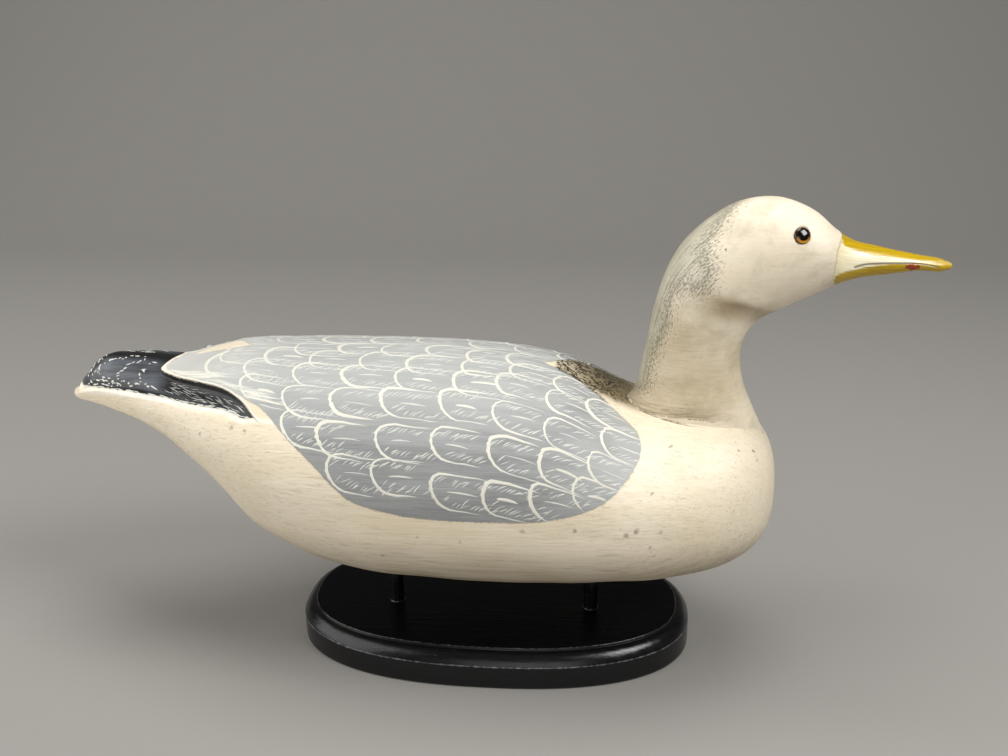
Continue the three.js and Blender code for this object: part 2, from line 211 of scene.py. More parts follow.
CAMERA_AT = (64.8246, -544.5061, 392.1520)
CAMERA_LENS, CAMERA_SENSOR = 39.286, 36
CAMERA_TURN, CAMERA_TILT, CAMERA_ROLL = 5.9, 22.5, 0.95


def linear(colour):
    """A colour given as sRGB hex, as linear red, green, blue and alpha."""
    channels = [int(colour[i : i + 2], 16) / 255 for i in (1, 3, 5)]
    return (*[c / 12.92 if c <= 0.04045 else ((c + 0.055) / 1.055) ** 2.4 for c in channels], 1.0)


def smoothstep(low, high, value):
    """0 at low and before it, 1 at high and past it, and a smooth rise between."""
    t = np.clip((value - low) / (high - low), 0, 1)
    return t * t * (3 - 2 * t)


def stretch(value, start, full, fade, end):
    """0 outside start to end, and 1 from full to fade."""
    return smoothstep(start, full, value) * smoothstep(end, fade, value)


def power(value, exponent):
    """A power that keeps the value's sign."""
    return np.sign(value) * np.abs(value) ** exponent


def along(pairs, x, flowing=False):
    """A smooth curve through (x, value) pairs. It only overshoots them if it may flow on past a crest."""
    at, value = np.array(pairs, float).T
    x = np.clip(x, at[0], at[-1])
    slope = np.diff(value) / np.diff(at)
    before, after = slope[:-1], slope[1:]
    same = before * after > 0
    inner = np.where(same, 2 * before * after / np.where(same, before + after, 1), 0)
    if flowing:
        left, right = np.diff(at)[:-1], np.diff(at)[1:]
        inner = (before * right + after * left) / (left + right)
    tangent = np.concatenate([slope[:1], inner, slope[-1:]])
    i = np.clip(np.searchsorted(at, x, side="right") - 1, 0, len(at) - 2)
    h = at[i + 1] - at[i]
    t = (x - at[i]) / h
    return (
        (2 * t**3 - 3 * t**2 + 1) * value[i]
        + (t**3 - 2 * t**2 + t) * h * tangent[i]
        + (3 * t**2 - 2 * t**3) * value[i + 1]
        + (t**3 - t**2) * h * tangent[i + 1]
    )


def rounded(points, steps=5):
    """Points along a smooth path through the given ones."""
    p = np.array(points, float)
    p = np.vstack([2 * p[0] - p[1], p, 2 * p[-1] - p[-2]])
    made = []
    for a, b, c, d in zip(p, p[1:], p[2:], p[3:]):
        second, third = 2 * a - 5 * b + 4 * c - d, 3 * b - a - 3 * c + d
        for t in np.arange(steps) / steps:
            made.append(0.5 * (2 * b + (c - a) * t + second * t**2 + third * t**3))
    return np.array([*made, p[-2]])


def nearest_mm(s, angle, size, path):
    """How far places on a surface chart are from a path on it; size is millimetres per degree there."""
    best = np.full(np.shape(s), np.inf)
    for (s0, a0), (s1, a1) in zip(path, path[1:]):
        us, ua = s1 - s0, (a1 - a0) * size
        ps, pa = s - s0, (angle - a0) * size
        t = np.clip((ps * us + pa * ua) / (us * us + ua * ua + 1e-12), 0, 1)
        best = np.minimum(best, np.hypot(ps - t * us, pa - t * ua))
    return best


def inside_mm(s, angle, size, path, corners):
    """Distance from a path, positive on the side that the corners close off."""
    outline = [*map(tuple, path), *corners]
    within = np.zeros(np.shape(s), bool)
    for (s0, a0), (s1, a1) in zip(outline, [*outline[1:], outline[0]]):
        if a0 != a1:
            crosses = (a0 > angle) != (a1 > angle)
            within ^= crosses & (s < s0 + (s1 - s0) * (angle - a0) / (a1 - a0))
    return nearest_mm(s, angle, size, path) * np.where(within, 1, -1)


def folded(angle):
    """The same place on the right side, for an angle anywhere round the body or head."""
    return np.where(angle > 90, 180 - angle, angle)


def hand_cut(points, seed, length, height):
    """The slight unevenness of a surface shaped with a knife and sanded, as waves of a few lengths."""
    draw = np.random.default_rng(seed)
    total = 0
    for k in range(7):
        direction = draw.normal(size=3)
        direction /= np.linalg.norm(direction)
        wave = length * draw.uniform(0.6, 1.7)
        total = total + np.sin(points @ direction * (2 * math.pi / wave) + draw.uniform(0, 6.28))
    return total * height / 2.6  # the seven waves together are some 2.6 times as high as one


def breast_left(x, exponent):
    """The part of the section's size that is left where the breast rounds off, from 1 down to 0."""
    s = np.clip((x - BREAST_START) / BREAST_LENGTH, 0, 1)
    return (1 - s**exponent) ** (1 / exponent)


def back_level(x):
    """Height of the ridge, which comes down to the tail's slab at the wing block's rear end."""
    full = along(BACK_LINE, np.maximum(x, BLOCK_FULL))
    s = np.clip((BLOCK_FULL - x) / (BLOCK_FULL - BLOCK_END), 0, 1)
    return TAIL_SLAB_TOP + (full - TAIL_SLAB_TOP) * (1 - s * s) ** BLOCK_POWER


def half_width(x):
    return along(HALF_WIDTH, x) * breast_left(x, BREAST_WIDTH)


def body_size(x):
    """Millimetres per degree round the body."""
    return np.maximum(half_width(x), 2) * DEGREE


def rise_mm(x, upper):
    """Height of the ridge above the widest line, or of that line above the keel."""
    level = along(WIDEST_LEVEL, x)
    return np.where(
        upper,
        (back_level(x) - level) * breast_left(x, BREAST_TOP),
        (level - along(KEEL_LINE, x)) * breast_left(x, BREAST_KEEL),
    )


def on_wing_mm(x, angle, size):
    """Distance from the wings' rounded ends, positive on the wings."""
    fold = folded(angle)
    short = LEFT_WING_SHORT * (angle > 90) * smoothstep(90, 78, fold) * smoothstep(50, 64, fold)
    corners = [(PAST_BREAST, WING_END[-1][1]), (PAST_BREAST, WING_END[0][1])]
    return inside_mm(x - short, fold, size, rounded(WING_END), corners)


def set_in(x, angle, size, depth, lip_height, edge):
    """How deep the surface lies below the plain body: the step above the tail, with the wing's raised lip."""
    fold = folded(angle)
    ledge = smoothstep(along(LEDGE_OUTER, x), along(LEDGE_INNER, x), fold)
    wing = on_wing_mm(x, angle, size)
    open_part = 1 - smoothstep(-edge, 0, wing)
    lip = np.exp(-((wing / edge - 0.7) ** 2) * 2) * ledge
    fade = smoothstep(STEP_FADE_FROM, STEP_FADE_FROM - STEP_FADE_LENGTH, x)
    tail_end = smoothstep(BLOCK_END, BLOCK_END + STEP_TAIL_FADE, x)
    away = ((x - HOLLOW_X) / HOLLOW_LENGTH) ** 2 + ((wing + HOLLOW_FROM_WING) / HOLLOW_WIDTH) ** 2
    hollow = HOLLOW_DEPTH * np.exp(-away) * (wing < 0)
    return (depth * ledge * open_part - lip_height * lip + hollow * ledge) * fade * tail_end


def body_points(x, angle, lift=0.0):
    """Points of the carved body's surface at the given places, raised by lift."""
    x, angle = np.broadcast_arrays(np.asarray(x, float), np.asarray(angle, float))
    carving = bpy.context.scene.gull_carving
    level = along(WIDEST_LEVEL, x)
    upper = (angle >= 0) & (angle <= 180)
    half = half_width(x)
    exponent = 2 / np.where(upper, UPPER_POWER, LOWER_POWER)
    y = -half * power(np.cos(angle * DEGREE), exponent)
    z = rise_mm(x, upper) * power(np.sin(angle * DEGREE), exponent)
    inward = np.zeros(x.shape)
    stepped = upper & (x < STEP_FADE_FROM) & (x > BLOCK_END)
    inward[stepped] = set_in(
        x[stepped], angle[stepped], (half * DEGREE)[stepped],
        carving.step_depth / MM, carving.wing_lip / MM, carving.step_edge / MM,
    )
    plain = np.stack([x, y, level + z], -1)
    uneven = hand_cut(plain, seed=11, length=34, height=carving.unevenness / MM)

    # Steps, waves and lift move a point along the line from its section's middle, and the waves fade
    # out near that middle.
    reach = np.maximum(1, np.hypot(y, z))
    shrink = 1 - (inward + uneven * smoothstep(2, 12, reach) - lift) / reach
    return np.stack([x, y * shrink, level + z * shrink], -1)


def body_field(points):
    """Negative inside the plain body, zero on its surface, and about one a section's size away from it."""
    x, y, z = np.moveaxis(points, -1, 0)
    level = along(WIDEST_LEVEL, x)
    upper = z >= level
    exponent = np.where(upper, UPPER_POWER, LOWER_POWER)
    across = np.abs(y) / np.maximum(half_width(x), 0.1)
    up = np.abs(z - level) / np.maximum(rise_mm(x, upper), 0.1)
    return (across**exponent + up**exponent) ** (1 / exponent) - 1


def body_slope(points):
    """The step in millimetres that raises the body's field by one, straight away from its surface."""
    step = 0.05
    slope = np.stack([
        (body_field(points + step * axis) - body_field(points - step * axis)) / (2 * step)
        for axis in np.eye(3)
    ], -1)
    return slope / np.maximum((slope**2).sum(-1, keepdims=True), 1e-6)


def area_mm(x, fold, edge):
    """Distance inside a painted area whose edge starts and ends at the ridge."""
    corners = [(edge[-1][0], PAST_RIDGE), (edge[0][0], PAST_RIDGE)]
    return inside_mm(x, fold, body_size(x), rounded(edge), corners)


def grey_mm(x, angle):
    """Distance inside the grey area. On the left the cream reaches further down from the ridge."""
    fold = folded(angle)
    ends = smoothstep(29, 60, x) + smoothstep(-128, -150, x) * smoothstep(-168, -152, x)
    fold = fold + CREAM_LEFT * (angle > 90) * smoothstep(50, 80, fold) * ends
    return area_mm(x, fold, GREY_EDGE)


def body_marks(points, x, angle):
    """Values at the body's points that place its paint, wear and painted light: distances in millimetres, or
    parts of 1.
    """
    fold = folded(angle)
    grey = grey_mm(x, angle)
    wing = on_wing_mm(x, angle, body_size(x))
    above_slab = area_mm(x, fold, BLACK_EDGE)
    # A band along the slab's edge below the black, lightened as a painted highlight.
    slab = np.exp(-(((above_slab + SLAB_BAND_BELOW) / SLAB_BAND_WIDTH) ** 2)) * smoothstep(60, 45, fold)
    # The black's near face is lightened to blue-grey as a painted sheen.
    sheen = stretch(fold, *SHEEN_ANGLES) * smoothstep(*SHEEN_X, x)

    # The khaki V behind the neck lies on both sides of the ridge, but further down the left one.
    from_ridge = points[:, 1]
    near = smoothstep(*KHAKI_RIGHT, from_ridge + (x - 60) * 0.12) * smoothstep(*KHAKI_LEFT, from_ridge)
    off_grey = smoothstep(2.0, -0.3, grey) * (fold > 45)
    stain = stretch(x, *KHAKI_X) * near * off_grey
    along_edge = np.exp(-((grey / 2) ** 2)) * stretch(x, *EDGE_SQUIGGLES_X) * (fold > 58)
    squiggles = np.maximum(stretch(x, *SQUIGGLES_X) * near, 0.7 * along_edge) * off_grey

    # Grime follows the foot of the neck for a millimetre or two, but not in front.
    past_middle = np.abs(x - NECK_MIDDLE) / NECK_HALF_LENGTH
    neck_y = NECK_HALF_WIDTH * np.sqrt(np.clip(1 - past_middle**2, 0, 1))
    from_neck = np.where(past_middle < 1, np.abs(np.abs(from_ridge) - neck_y), np.inf)
    grime = 0.7 * np.exp(-((from_neck / NECK_GRIME_WIDTH) ** 2)) * smoothstep(128, 105, x)
    grime = grime * (points[:, 2] > NECK_FOOT[2] - 5)
    return {
        "grey_mm": grey, "black_mm": np.minimum(above_slab, -wing), "wing_mm": wing, "slab": slab,
        "sheen": sheen, "stain": stain, "squiggles": squiggles, "grime": grime,
    }


def rib_places():
    """How far along the neck and head each rib lies."""
    middles = np.array([((bx + fx) / 2, (bz + fz) / 2) for bx, bz, fx, fz, _ in RIBS])
    return np.concatenate([[0], np.cumsum(np.linalg.norm(np.diff(middles, axis=0), axis=1))])


def head_ring(way):
    """The rib at a place along the neck and head: middle and half length in the side view, and half width."""
    columns = np.array(RIBS, float).T
    places = rib_places()
    bx, bz, fx, fz, width = [along(list(zip(places, c)), way, flowing=True) for c in columns]
    return (bx + fx) / 2, (bz + fz) / 2, (bx - fx) / 2, (bz - fz) / 2, width


def head_size(way):
    """Millimetres per degree round the head."""
    _, _, hx, hz, width = head_ring(way)
    return (np.hypot(hx, hz) + width) / 2 * DEGREE


def jaw_mm(way, fold, size):
    """Distance from the crease below the cheek, positive on the cheek."""
    corners = [(PAST_BILL, JAW[-1][1]), (PAST_BILL, JAW[0][1])]
    return inside_mm(way, fold, size, rounded(JAW), corners)


def bill_mm(way, fold, size):
    """Distance from the bill's edge, positive on the bill."""
    corners = [(PAST_BILL, BILL_EDGE[-1][1]), (PAST_BILL, BILL_EDGE[0][1])]
    return inside_mm(way, fold, size, rounded(BILL_EDGE), corners)


def head_points(way, angle, lift=0.0):
    """Points of the neck, head and bill, raised by lift."""
    way, angle = np.broadcast_arrays(np.asarray(way, float), np.asarray(angle, float))
    mx, mz, hx, hz, width = head_ring(way)
    c, s = np.cos(angle * DEGREE), np.sin(angle * DEGREE)
    size = head_size(way)
    fold = folded(angle)
    mouth = nearest_mm(way, fold, size, rounded(MOUTH))
    groove = MOUTH_DEPTH * np.exp(-((mouth / MOUTH_WIDTH) ** 2))
    raised = lift - BILL_STEP * smoothstep(-0.3, 0.3, bill_mm(way, fold, size)) - groove

    # The cheek swells above the crease, which is deepest at the side and fades towards the throat.
    jaw = jaw_mm(way, fold, size)
    crease = np.exp(-((np.minimum(jaw, 0) / CREASE_REACH) ** 2)) * (1 - smoothstep(-2.2, 1.8, jaw))
    cheek = np.exp(-(((jaw - CHEEK_MIDDLE) / CHEEK_REACH) ** 2))
    below = smoothstep(14, -26, fold) * (0.45 + 0.55 * smoothstep(-75, -40, fold))
    raised = raised + (CHEEK_RISE * cheek - CREASE_DEPTH * crease) * below

    plain = np.stack([mx + hx * s, -width * c, mz + hz * s], -1)
    waves = bpy.context.scene.gull_carving.unevenness / MM * 0.8
    raised = raised - hand_cut(plain, seed=5, length=26, height=waves) * smoothstep(140, 110, way)

    # A socket for the eye, with a low rim round it.
    to_eye = np.linalg.norm(plain[..., [0, 2]] - EYE_AT, axis=-1)
    raised = raised + SOCKET_RIM * np.exp(-(((to_eye - EYE_RADIUS - 0.4) / 0.5) ** 2))
    raised = raised - SOCKET_DEPTH * smoothstep(EYE_RADIUS, EYE_RADIUS - 0.6, to_eye)
    half = np.hypot(hx, hz)
    grow_long, grow_wide = 1 + raised / np.maximum(half, 1), 1 + raised / np.maximum(width, 1)
    return np.stack([mx + hx * s * grow_long, -width * c * grow_wide, mz + hz * s * grow_long], -1)


def head_marks(points, way, angle):
    """Values at the head's points that place its paint, wear and painted shade: distances in millimetres, or
    parts of 1.
    """
    size, fold = head_size(way), folded(angle)
    jaw = jaw_mm(way, fold, size)

    # Height above the neck's foot. The line that its brown foot band starts from, partly dirt and partly
    # painted shade, rises towards the sides and the front.
    low = way < 45
    above = np.full(len(way), 60.0)
    above[low] = body_field(points[low]) * np.linalg.norm(body_slope(points[low]), axis=-1)
    above = above - DIRT_AND_SHADE_HIGHER_AT_SIDES * smoothstep(45, 0, fold)
    above = above - DIRT_AND_SHADE_HIGHER_IN_FRONT * smoothstep(-10, -60, fold)
    front = smoothstep(-8, -40, fold)

    throat_stain_and_shade = smoothstep(-15, -4, jaw) * np.exp(-((np.maximum(jaw, 0) / 3.5) ** 2)) * smoothstep(36, -14, fold)
    return {
        "bill_mm": bill_mm(way, fold, size),
        "mouth_mm": nearest_mm(way, fold, size, rounded(MOUTH)),
        "upper_yellow_mm": inside_mm(way, fold, size, rounded(UPPER_YELLOW), [(147, 100)]),
        "lower_yellow_mm": inside_mm(way, fold, size, rounded(LOWER_YELLOW), [(200, -100), (126, -100)]),
        "nape_mm": inside_mm(way, fold, size, rounded(NAPE), []),
        "throat_stain_and_shade": throat_stain_and_shade,
        "red_mm": np.hypot((way - RED_AT[0]) / RED_STRETCH, (fold - RED_AT[1]) * size),
        "foot_mm": above,
        "front": front,
        "neck_part": smoothstep(0, 0.8 + 14 * front, above),
        "way_mm": way,
        "around_mm": fold * size,
    }


def evenly(points, rows, closeness):
    """Row numbers at equal steps along a line of points, closer where closeness is larger."""
    steps = np.linalg.norm(np.diff(points, axis=0), axis=1) * (closeness[1:] + closeness[:-1]) / 2
    far = np.concatenate([[0], np.cumsum(steps)])
    return np.interp(np.linspace(0, far[-1], rows + 1), far, np.arange(len(points)))


def mesh_from(bm, name):
    """Turns a bmesh into a mesh and frees it."""
    mesh = bpy.data.meshes.new(name)
    bm.to_mesh(mesh)
    bm.free()
    return mesh


def grid_mesh(name, rows, columns, place):
    """A grid set in place by a function of its row and column fractions, with its seam and poles merged.

    The function gives points in millimetres and a dictionary of values to keep at each of them."""
    bm = bmesh.new()
    bmesh.ops.create_grid(bm, x_segments=rows, y_segments=columns, size=1)
    mesh = mesh_from(bm, name)
    flat = np.empty(len(mesh.vertices) * 3)
    mesh.vertices.foreach_get("co", flat)
    fractions = (flat.reshape(-1, 3)[:, :2] + 1) / 2
    points, kept = place(fractions[:, 0], fractions[:, 1])
    mesh.vertices.foreach_set("co", (points * MM).ravel())
    for key, values in kept.items():
        mesh.attributes.new(key, "FLOAT", "POINT").data.foreach_set("value", np.asarray(values, float))
    bm = bmesh.new()
    bm.from_mesh(mesh)
    bmesh.ops.remove_doubles(bm, verts=bm.verts, dist=0.02 * MM)
    bmesh.ops.dissolve_degenerate(bm, edges=bm.edges, dist=0.001 * MM)
    bmesh.ops.recalc_face_normals(bm, faces=bm.faces)
    bm.to_mesh(mesh)
    bm.free()
    mesh.shade_smooth()
    return mesh


def turned(profile, x, steps):
    """A solid turned on an upright axis at x, from radii and heights that start and end on the axis."""
    bm = bmesh.new()
    verts = [bm.verts.new(((x + r) * MM, 0, h * MM)) for r, h in profile]
    edges = [bm.edges.new(pair) for pair in zip(verts, verts[1:])]
    bmesh.ops.spin(bm, geom=[*verts, *edges], cent=(x * MM, 0, 0), axis=(0, 0, 1), angle=2 * math.pi,
                   steps=steps, use_merge=True)
    bmesh.ops.remove_doubles(bm, verts=bm.verts, dist=0.01 * MM)
    bmesh.ops.recalc_face_normals(bm, faces=bm.faces)
    return bm


def finish_piece(name, mesh, material, slot, *nodes):
    """Puts a mesh in the scene as a piece that rides on the object and stands for the given CAD nodes."""
    mesh.materials.clear()
    mesh.materials.append(material)
    piece = bpy.data.objects.new(name, mesh)
    bpy.context.scene.collection.objects.link(piece)
    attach(piece, "root")
    if nodes:
        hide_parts(*nodes)
    return piece


def add(tree, kind, values=None, out=0, **settings):
    """Adds a node with its settings, and its inputs as numbers, colours or links. Returns one output."""
    node = tree.nodes.new(kind)
    for key, value in settings.items():
        setattr(node, key, value)
    for key, value in (values or {}).items():
        if isinstance(value, bpy.types.NodeSocket):
            tree.links.new(value, node.inputs[key])
        else:
            node.inputs[key].default_value = value
    return node.outputs[out] if node.outputs else None


def new_material(name):
    """An empty material and its node tree."""
    material = bpy.data.materials.new(name)
    material.use_nodes = True
    material.node_tree.nodes.clear()
    return material, material.node_tree


def oil_paint_on_cedar():
    """Flat oil paint brushed on sanded cedar: a warm cream ground that shows faint grain and brush lines
    along the bird, grey and black areas with worn edges, painted highlights on the grey's crest, towards its
    front and along the slab, a painted sheen on the black, and brown low down, partly grime and partly
    painted shade, with grime in hollows."""
    colours = bpy.context.scene.gull_paint
    material, tree = new_material("oil_paint_on_cedar")
    place = add(tree, "ShaderNodeTexCoord", out=3)
    x = add(tree, "ShaderNodeSeparateXYZ", {0: place}, out=0)
    z = add(tree, "ShaderNodeSeparateXYZ", {0: place}, out=2)
    panel, black, wing, slab, sheen, stain, squiggles, grime = [
        add(tree, "ShaderNodeAttribute", out=2, attribute_name=name)
        for name in ("grey_mm", "black_mm", "wing_mm", "slab", "sheen", "stain", "squiggles", "grime")
    ]

    # Brush lines some 60 mm long and 5 mm wide, grain 30 mm long and 1.2 mm wide, clouds 60 mm across and
    # mottles 2.5 mm across.
    brush_place = add(tree, "ShaderNodeMapping", {0: place, 3: (16, 200, 200)})
    brush = add(tree, "ShaderNodeTexNoise", {0: brush_place, 2: 1, 3: 3, 4: 0.6})
    grain_place = add(tree, "ShaderNodeMapping", {0: place, 3: (34, 820, 820)})
    grain = add(tree, "ShaderNodeTexNoise", {0: grain_place, 2: 1, 3: 4, 4: 0.65, 8: 0.6})
    cloud = add(tree, "ShaderNodeTexNoise", {0: place, 2: 16, 3: 4, 4: 0.6})
    fine = add(tree, "ShaderNodeTexNoise", {0: place, 2: 420, 3: 3, 4: 0.6})

    cloud_part = add(tree, "ShaderNodeMapRange", {0: cloud, 1: 0.36, 2: 0.68, 3: 0, 4: 0.5})
    ground = add(tree, "ShaderNodeMix", {0: cloud_part, 6: colours.cream, 7: colours.cream_deep},
                 out=2, data_type="RGBA")
    brush_part = add(tree, "ShaderNodeMapRange", {0: brush, 1: 0.45, 2: 0.7, 3: 0, 4: 0.35})
    ground = add(tree, "ShaderNodeMix", {0: brush_part, 6: ground, 7: colours.cream_deep},
                 out=2, data_type="RGBA")

    # Towards the keel the cream darkens to brown, partly grime and partly painted shade, and the grime picks
    # out the grain there.
    low = add(tree, "ShaderNodeMapRange", {0: z, 1: 0.105, 2: 0.062, 3: 0, 4: 1})
    low_brush = add(tree, "ShaderNodeMapRange", {0: brush, 1: 0.25, 2: 0.7, 3: 0.6, 4: 1})
    low = add(tree, "ShaderNodeMath", {0: low, 1: low_brush}, operation="MULTIPLY")
    keel_grime_and_shade = add(tree, "ShaderNodeMath", {0: low, 1: 0.92}, operation="MULTIPLY")
    ground = add(tree, "ShaderNodeMix", {0: keel_grime_and_shade, 6: ground, 7: linear("#514026")},
                 out=2, data_type="RGBA")
    grain_part = add(tree, "ShaderNodeMapRange", {0: grain, 1: 0.54, 2: 0.72, 3: 0, 4: 1})
    grain_depth = add(tree, "ShaderNodeMapRange", {0: low, 1: 0, 2: 0.6, 3: 0.34, 4: 0.75})
    grain_part = add(tree, "ShaderNodeMath", {0: grain_part, 1: grain_depth}, operation="MULTIPLY")
    ground = add(tree, "ShaderNodeMix", {0: grain_part, 6: ground, 7: linear("#7f6a45")},
                 out=2, data_type="RGBA")
    grime_part = add(tree, "ShaderNodeMath", {0: grime, 1: fine}, operation="MULTIPLY")
    grime_part = add(tree, "ShaderNodeMapRange", {0: grime_part, 1: 0.18, 2: 0.5, 3: 0, 4: 0.9})
    ground = add(tree, "ShaderNodeMix", {0: grime_part, 6: ground, 7: linear("#5d4c33")},
                 out=2, data_type="RGBA")

    # Pores and flecks under a millimetre across, thinly scattered, with a few larger dents.
    flecks = add(tree, "ShaderNodeTexNoise", {0: place, 2: 700, 3: 2, 4: 0.5})
    flecks = add(tree, "ShaderNodeMapRange", {0: flecks, 1: 0.735, 2: 0.76, 3: 0, 4: 0.7})
    ground = add(tree, "ShaderNodeMix", {0: flecks, 6: ground, 7: linear("#6a5a3e")}, out=2, data_type="RGBA")
    dents = add(tree, "ShaderNodeTexNoise", {0: place, 2: 95, 3: 2, 4: 0.5})
    dents = add(tree, "ShaderNodeMapRange", {0: dents, 1: 0.735, 2: 0.76, 3: 0, 4: 0.6})
    ground = add(tree, "ShaderNodeMix", {0: dents, 6: ground, 7: linear("#85724f")}, out=2, data_type="RGBA")

    ragged = add(tree, "ShaderNodeMapRange", {0: fine, 1: 0.3, 2: 0.7, 3: -0.0009, 4: 0.0009})
    for mark_x, mark_angle, radius, depth in FLECKS:
        spot = body_points(mark_x, float(mark_angle)) * MM
        away = add(tree, "ShaderNodeVectorMath", {0: place, 1: spot}, out=1, operation="DISTANCE")
        away = add(tree, "ShaderNodeMath", {0: away, 1: ragged}, operation="ADD")
        mark = add(tree, "ShaderNodeMapRange",
                   {0: away, 1: 0.2 * radius * MM, 2: radius * MM, 3: depth, 4: 0})
        ground = add(tree, "ShaderNodeMix", {0: mark, 6: ground, 7: linear("#4a3d28")},
                     out=2, data_type="RGBA")

    # A painted highlight, a band of lighter white some 3 mm wide, lies along the slab's edge below the black,
    # where its top faces the light.
    ledge_highlight = add(tree, "ShaderNodeMapRange", {0: grain, 1: 0.35, 2: 0.6, 3: 0.25, 4: 0.9})
    ledge_highlight = add(tree, "ShaderNodeMath", {0: ledge_highlight, 1: slab}, operation="MULTIPLY")
    ground = add(tree, "ShaderNodeMix", {0: ledge_highlight, 6: ground, 7: linear("#f4f0e4")}, out=2, data_type="RGBA")

    # The grey area's edge wanders by a millimetre, as a brush leaves it.
    wander = add(tree, "ShaderNodeMapRange", {0: cloud, 1: 0.3, 2: 0.7, 3: -1.0, 4: 1.0})
    wander_fine = add(tree, "ShaderNodeMapRange", {0: fine, 1: 0.3, 2: 0.7, 3: -0.35, 4: 0.35})
    edge = add(tree, "ShaderNodeMath", {0: panel, 1: wander_fine}, operation="ADD")
    edge = add(tree, "ShaderNodeMath", {0: edge, 1: wander}, operation="ADD")
    on_grey = add(tree, "ShaderNodeMapRange", {0: edge, 1: -0.3, 2: 0.3, 3: 0, 4: 1})
    grey_brush = add(tree, "ShaderNodeMapRange", {0: brush, 1: 0.3, 2: 0.7, 3: 0, 4: 1})
    grey = add(tree, "ShaderNodeMix", {0: grey_brush, 6: colours.grey, 7: colours.grey_light},
               out=2, data_type="RGBA")
    grey_grain = add(tree, "ShaderNodeMapRange", {0: grain, 1: 0.56, 2: 0.8, 3: 0, 4: 0.45})
    grey = add(tree, "ShaderNodeMix", {0: grey_grain, 6: grey, 7: linear("#6f6f6b")}, out=2, data_type="RGBA")
    # Painted highlight: the grey is lighter along the crest and towards its front, where the light from above
    # falls.
    crest = add(tree, "ShaderNodeMapRange", {0: z, 1: 0.152, 2: 0.180, 3: 0, 4: 0.5})
    shoulder_highlight = add(tree, "ShaderNodeMapRange", {0: x, 1: 0.03, 2: 0.075, 3: 0, 4: 0.35})
    highlight_and_wear = add(tree, "ShaderNodeMath", {0: crest, 1: shoulder_highlight}, operation="MAXIMUM")
    grey = add(tree, "ShaderNodeMix", {0: highlight_and_wear, 6: grey, 7: linear("#c6c7c2")}, out=2, data_type="RGBA")
    rear = add(tree, "ShaderNodeMapRange", {0: x, 1: -0.105, 2: -0.16, 3: 0, 4: 0.4})
    grey = add(tree, "ShaderNodeMix", {0: rear, 6: grey, 7: linear("#dcd9cf")}, out=2, data_type="RGBA")
    colour = add(tree, "ShaderNodeMix", {0: on_grey, 6: ground, 7: grey}, out=2, data_type="RGBA")

    # A thin, broken brown line shows where the grey meets the cream.
    rim = add(tree, "ShaderNodeMath", {0: edge}, operation="ABSOLUTE")
    rim = add(tree, "ShaderNodeMapRange", {0: rim, 1: 0.15, 2: 0.8, 3: 0.45, 4: 0})
    rim = add(tree, "ShaderNodeMath", {0: rim, 1: grey_brush}, operation="MULTIPLY")
    colour = add(tree, "ShaderNodeMix", {0: rim, 6: colour, 7: linear("#7b6c52")}, out=2, data_type="RGBA")

    # Behind the neck the finish has gone khaki, and nearer its tip it has broken up in worm-like squiggles,
    # lines under a millimetre wide that turn every 5 mm.
    tone = add(tree, "ShaderNodeMapRange", {0: cloud, 1: 0.3, 2: 0.7, 3: 0.75, 4: 0.98})
    tone = add(tree, "ShaderNodeMath", {0: tone, 1: stain}, operation="MULTIPLY")
    colour = add(tree, "ShaderNodeMix", {0: tone, 6: colour, 7: linear("#776a48")}, out=2, data_type="RGBA")
    worms = add(tree, "ShaderNodeTexNoise", {0: place, 2: 190, 3: 3, 4: 0.6, 8: 1.2})
    worms = add(tree, "ShaderNodeMath", {0: worms, 1: -0.5}, operation="ADD")
    worms = add(tree, "ShaderNodeMath", {0: worms}, operation="ABSOLUTE")
    worms = add(tree, "ShaderNodeMapRange", {0: worms, 1: 0.035, 2: 0.07, 3: 1, 4: 0})
    patchy = add(tree, "ShaderNodeTexNoise", {0: place, 2: 95, 3: 3, 4: 0.6})
    patchy = add(tree, "ShaderNodeMath", {0: patchy, 1: squiggles}, operation="ADD")
    patchy = add(tree, "ShaderNodeMapRange", {0: patchy, 1: 0.75, 2: 1.1, 3: 0, 4: 1})
    smudge = add(tree, "ShaderNodeMath", {0: patchy, 1: 0.5}, operation="MULTIPLY")
    colour = add(tree, "ShaderNodeMix", {0: smudge, 6: colour, 7: linear("#7f7250")}, out=2, data_type="RGBA")
    squiggle = add(tree, "ShaderNodeMath", {0: worms, 1: patchy}, operation="MULTIPLY")
    colour = add(tree, "ShaderNodeMix", {0: squiggle, 6: colour, 7: linear("#332a1c")},
                 out=2, data_type="RGBA")

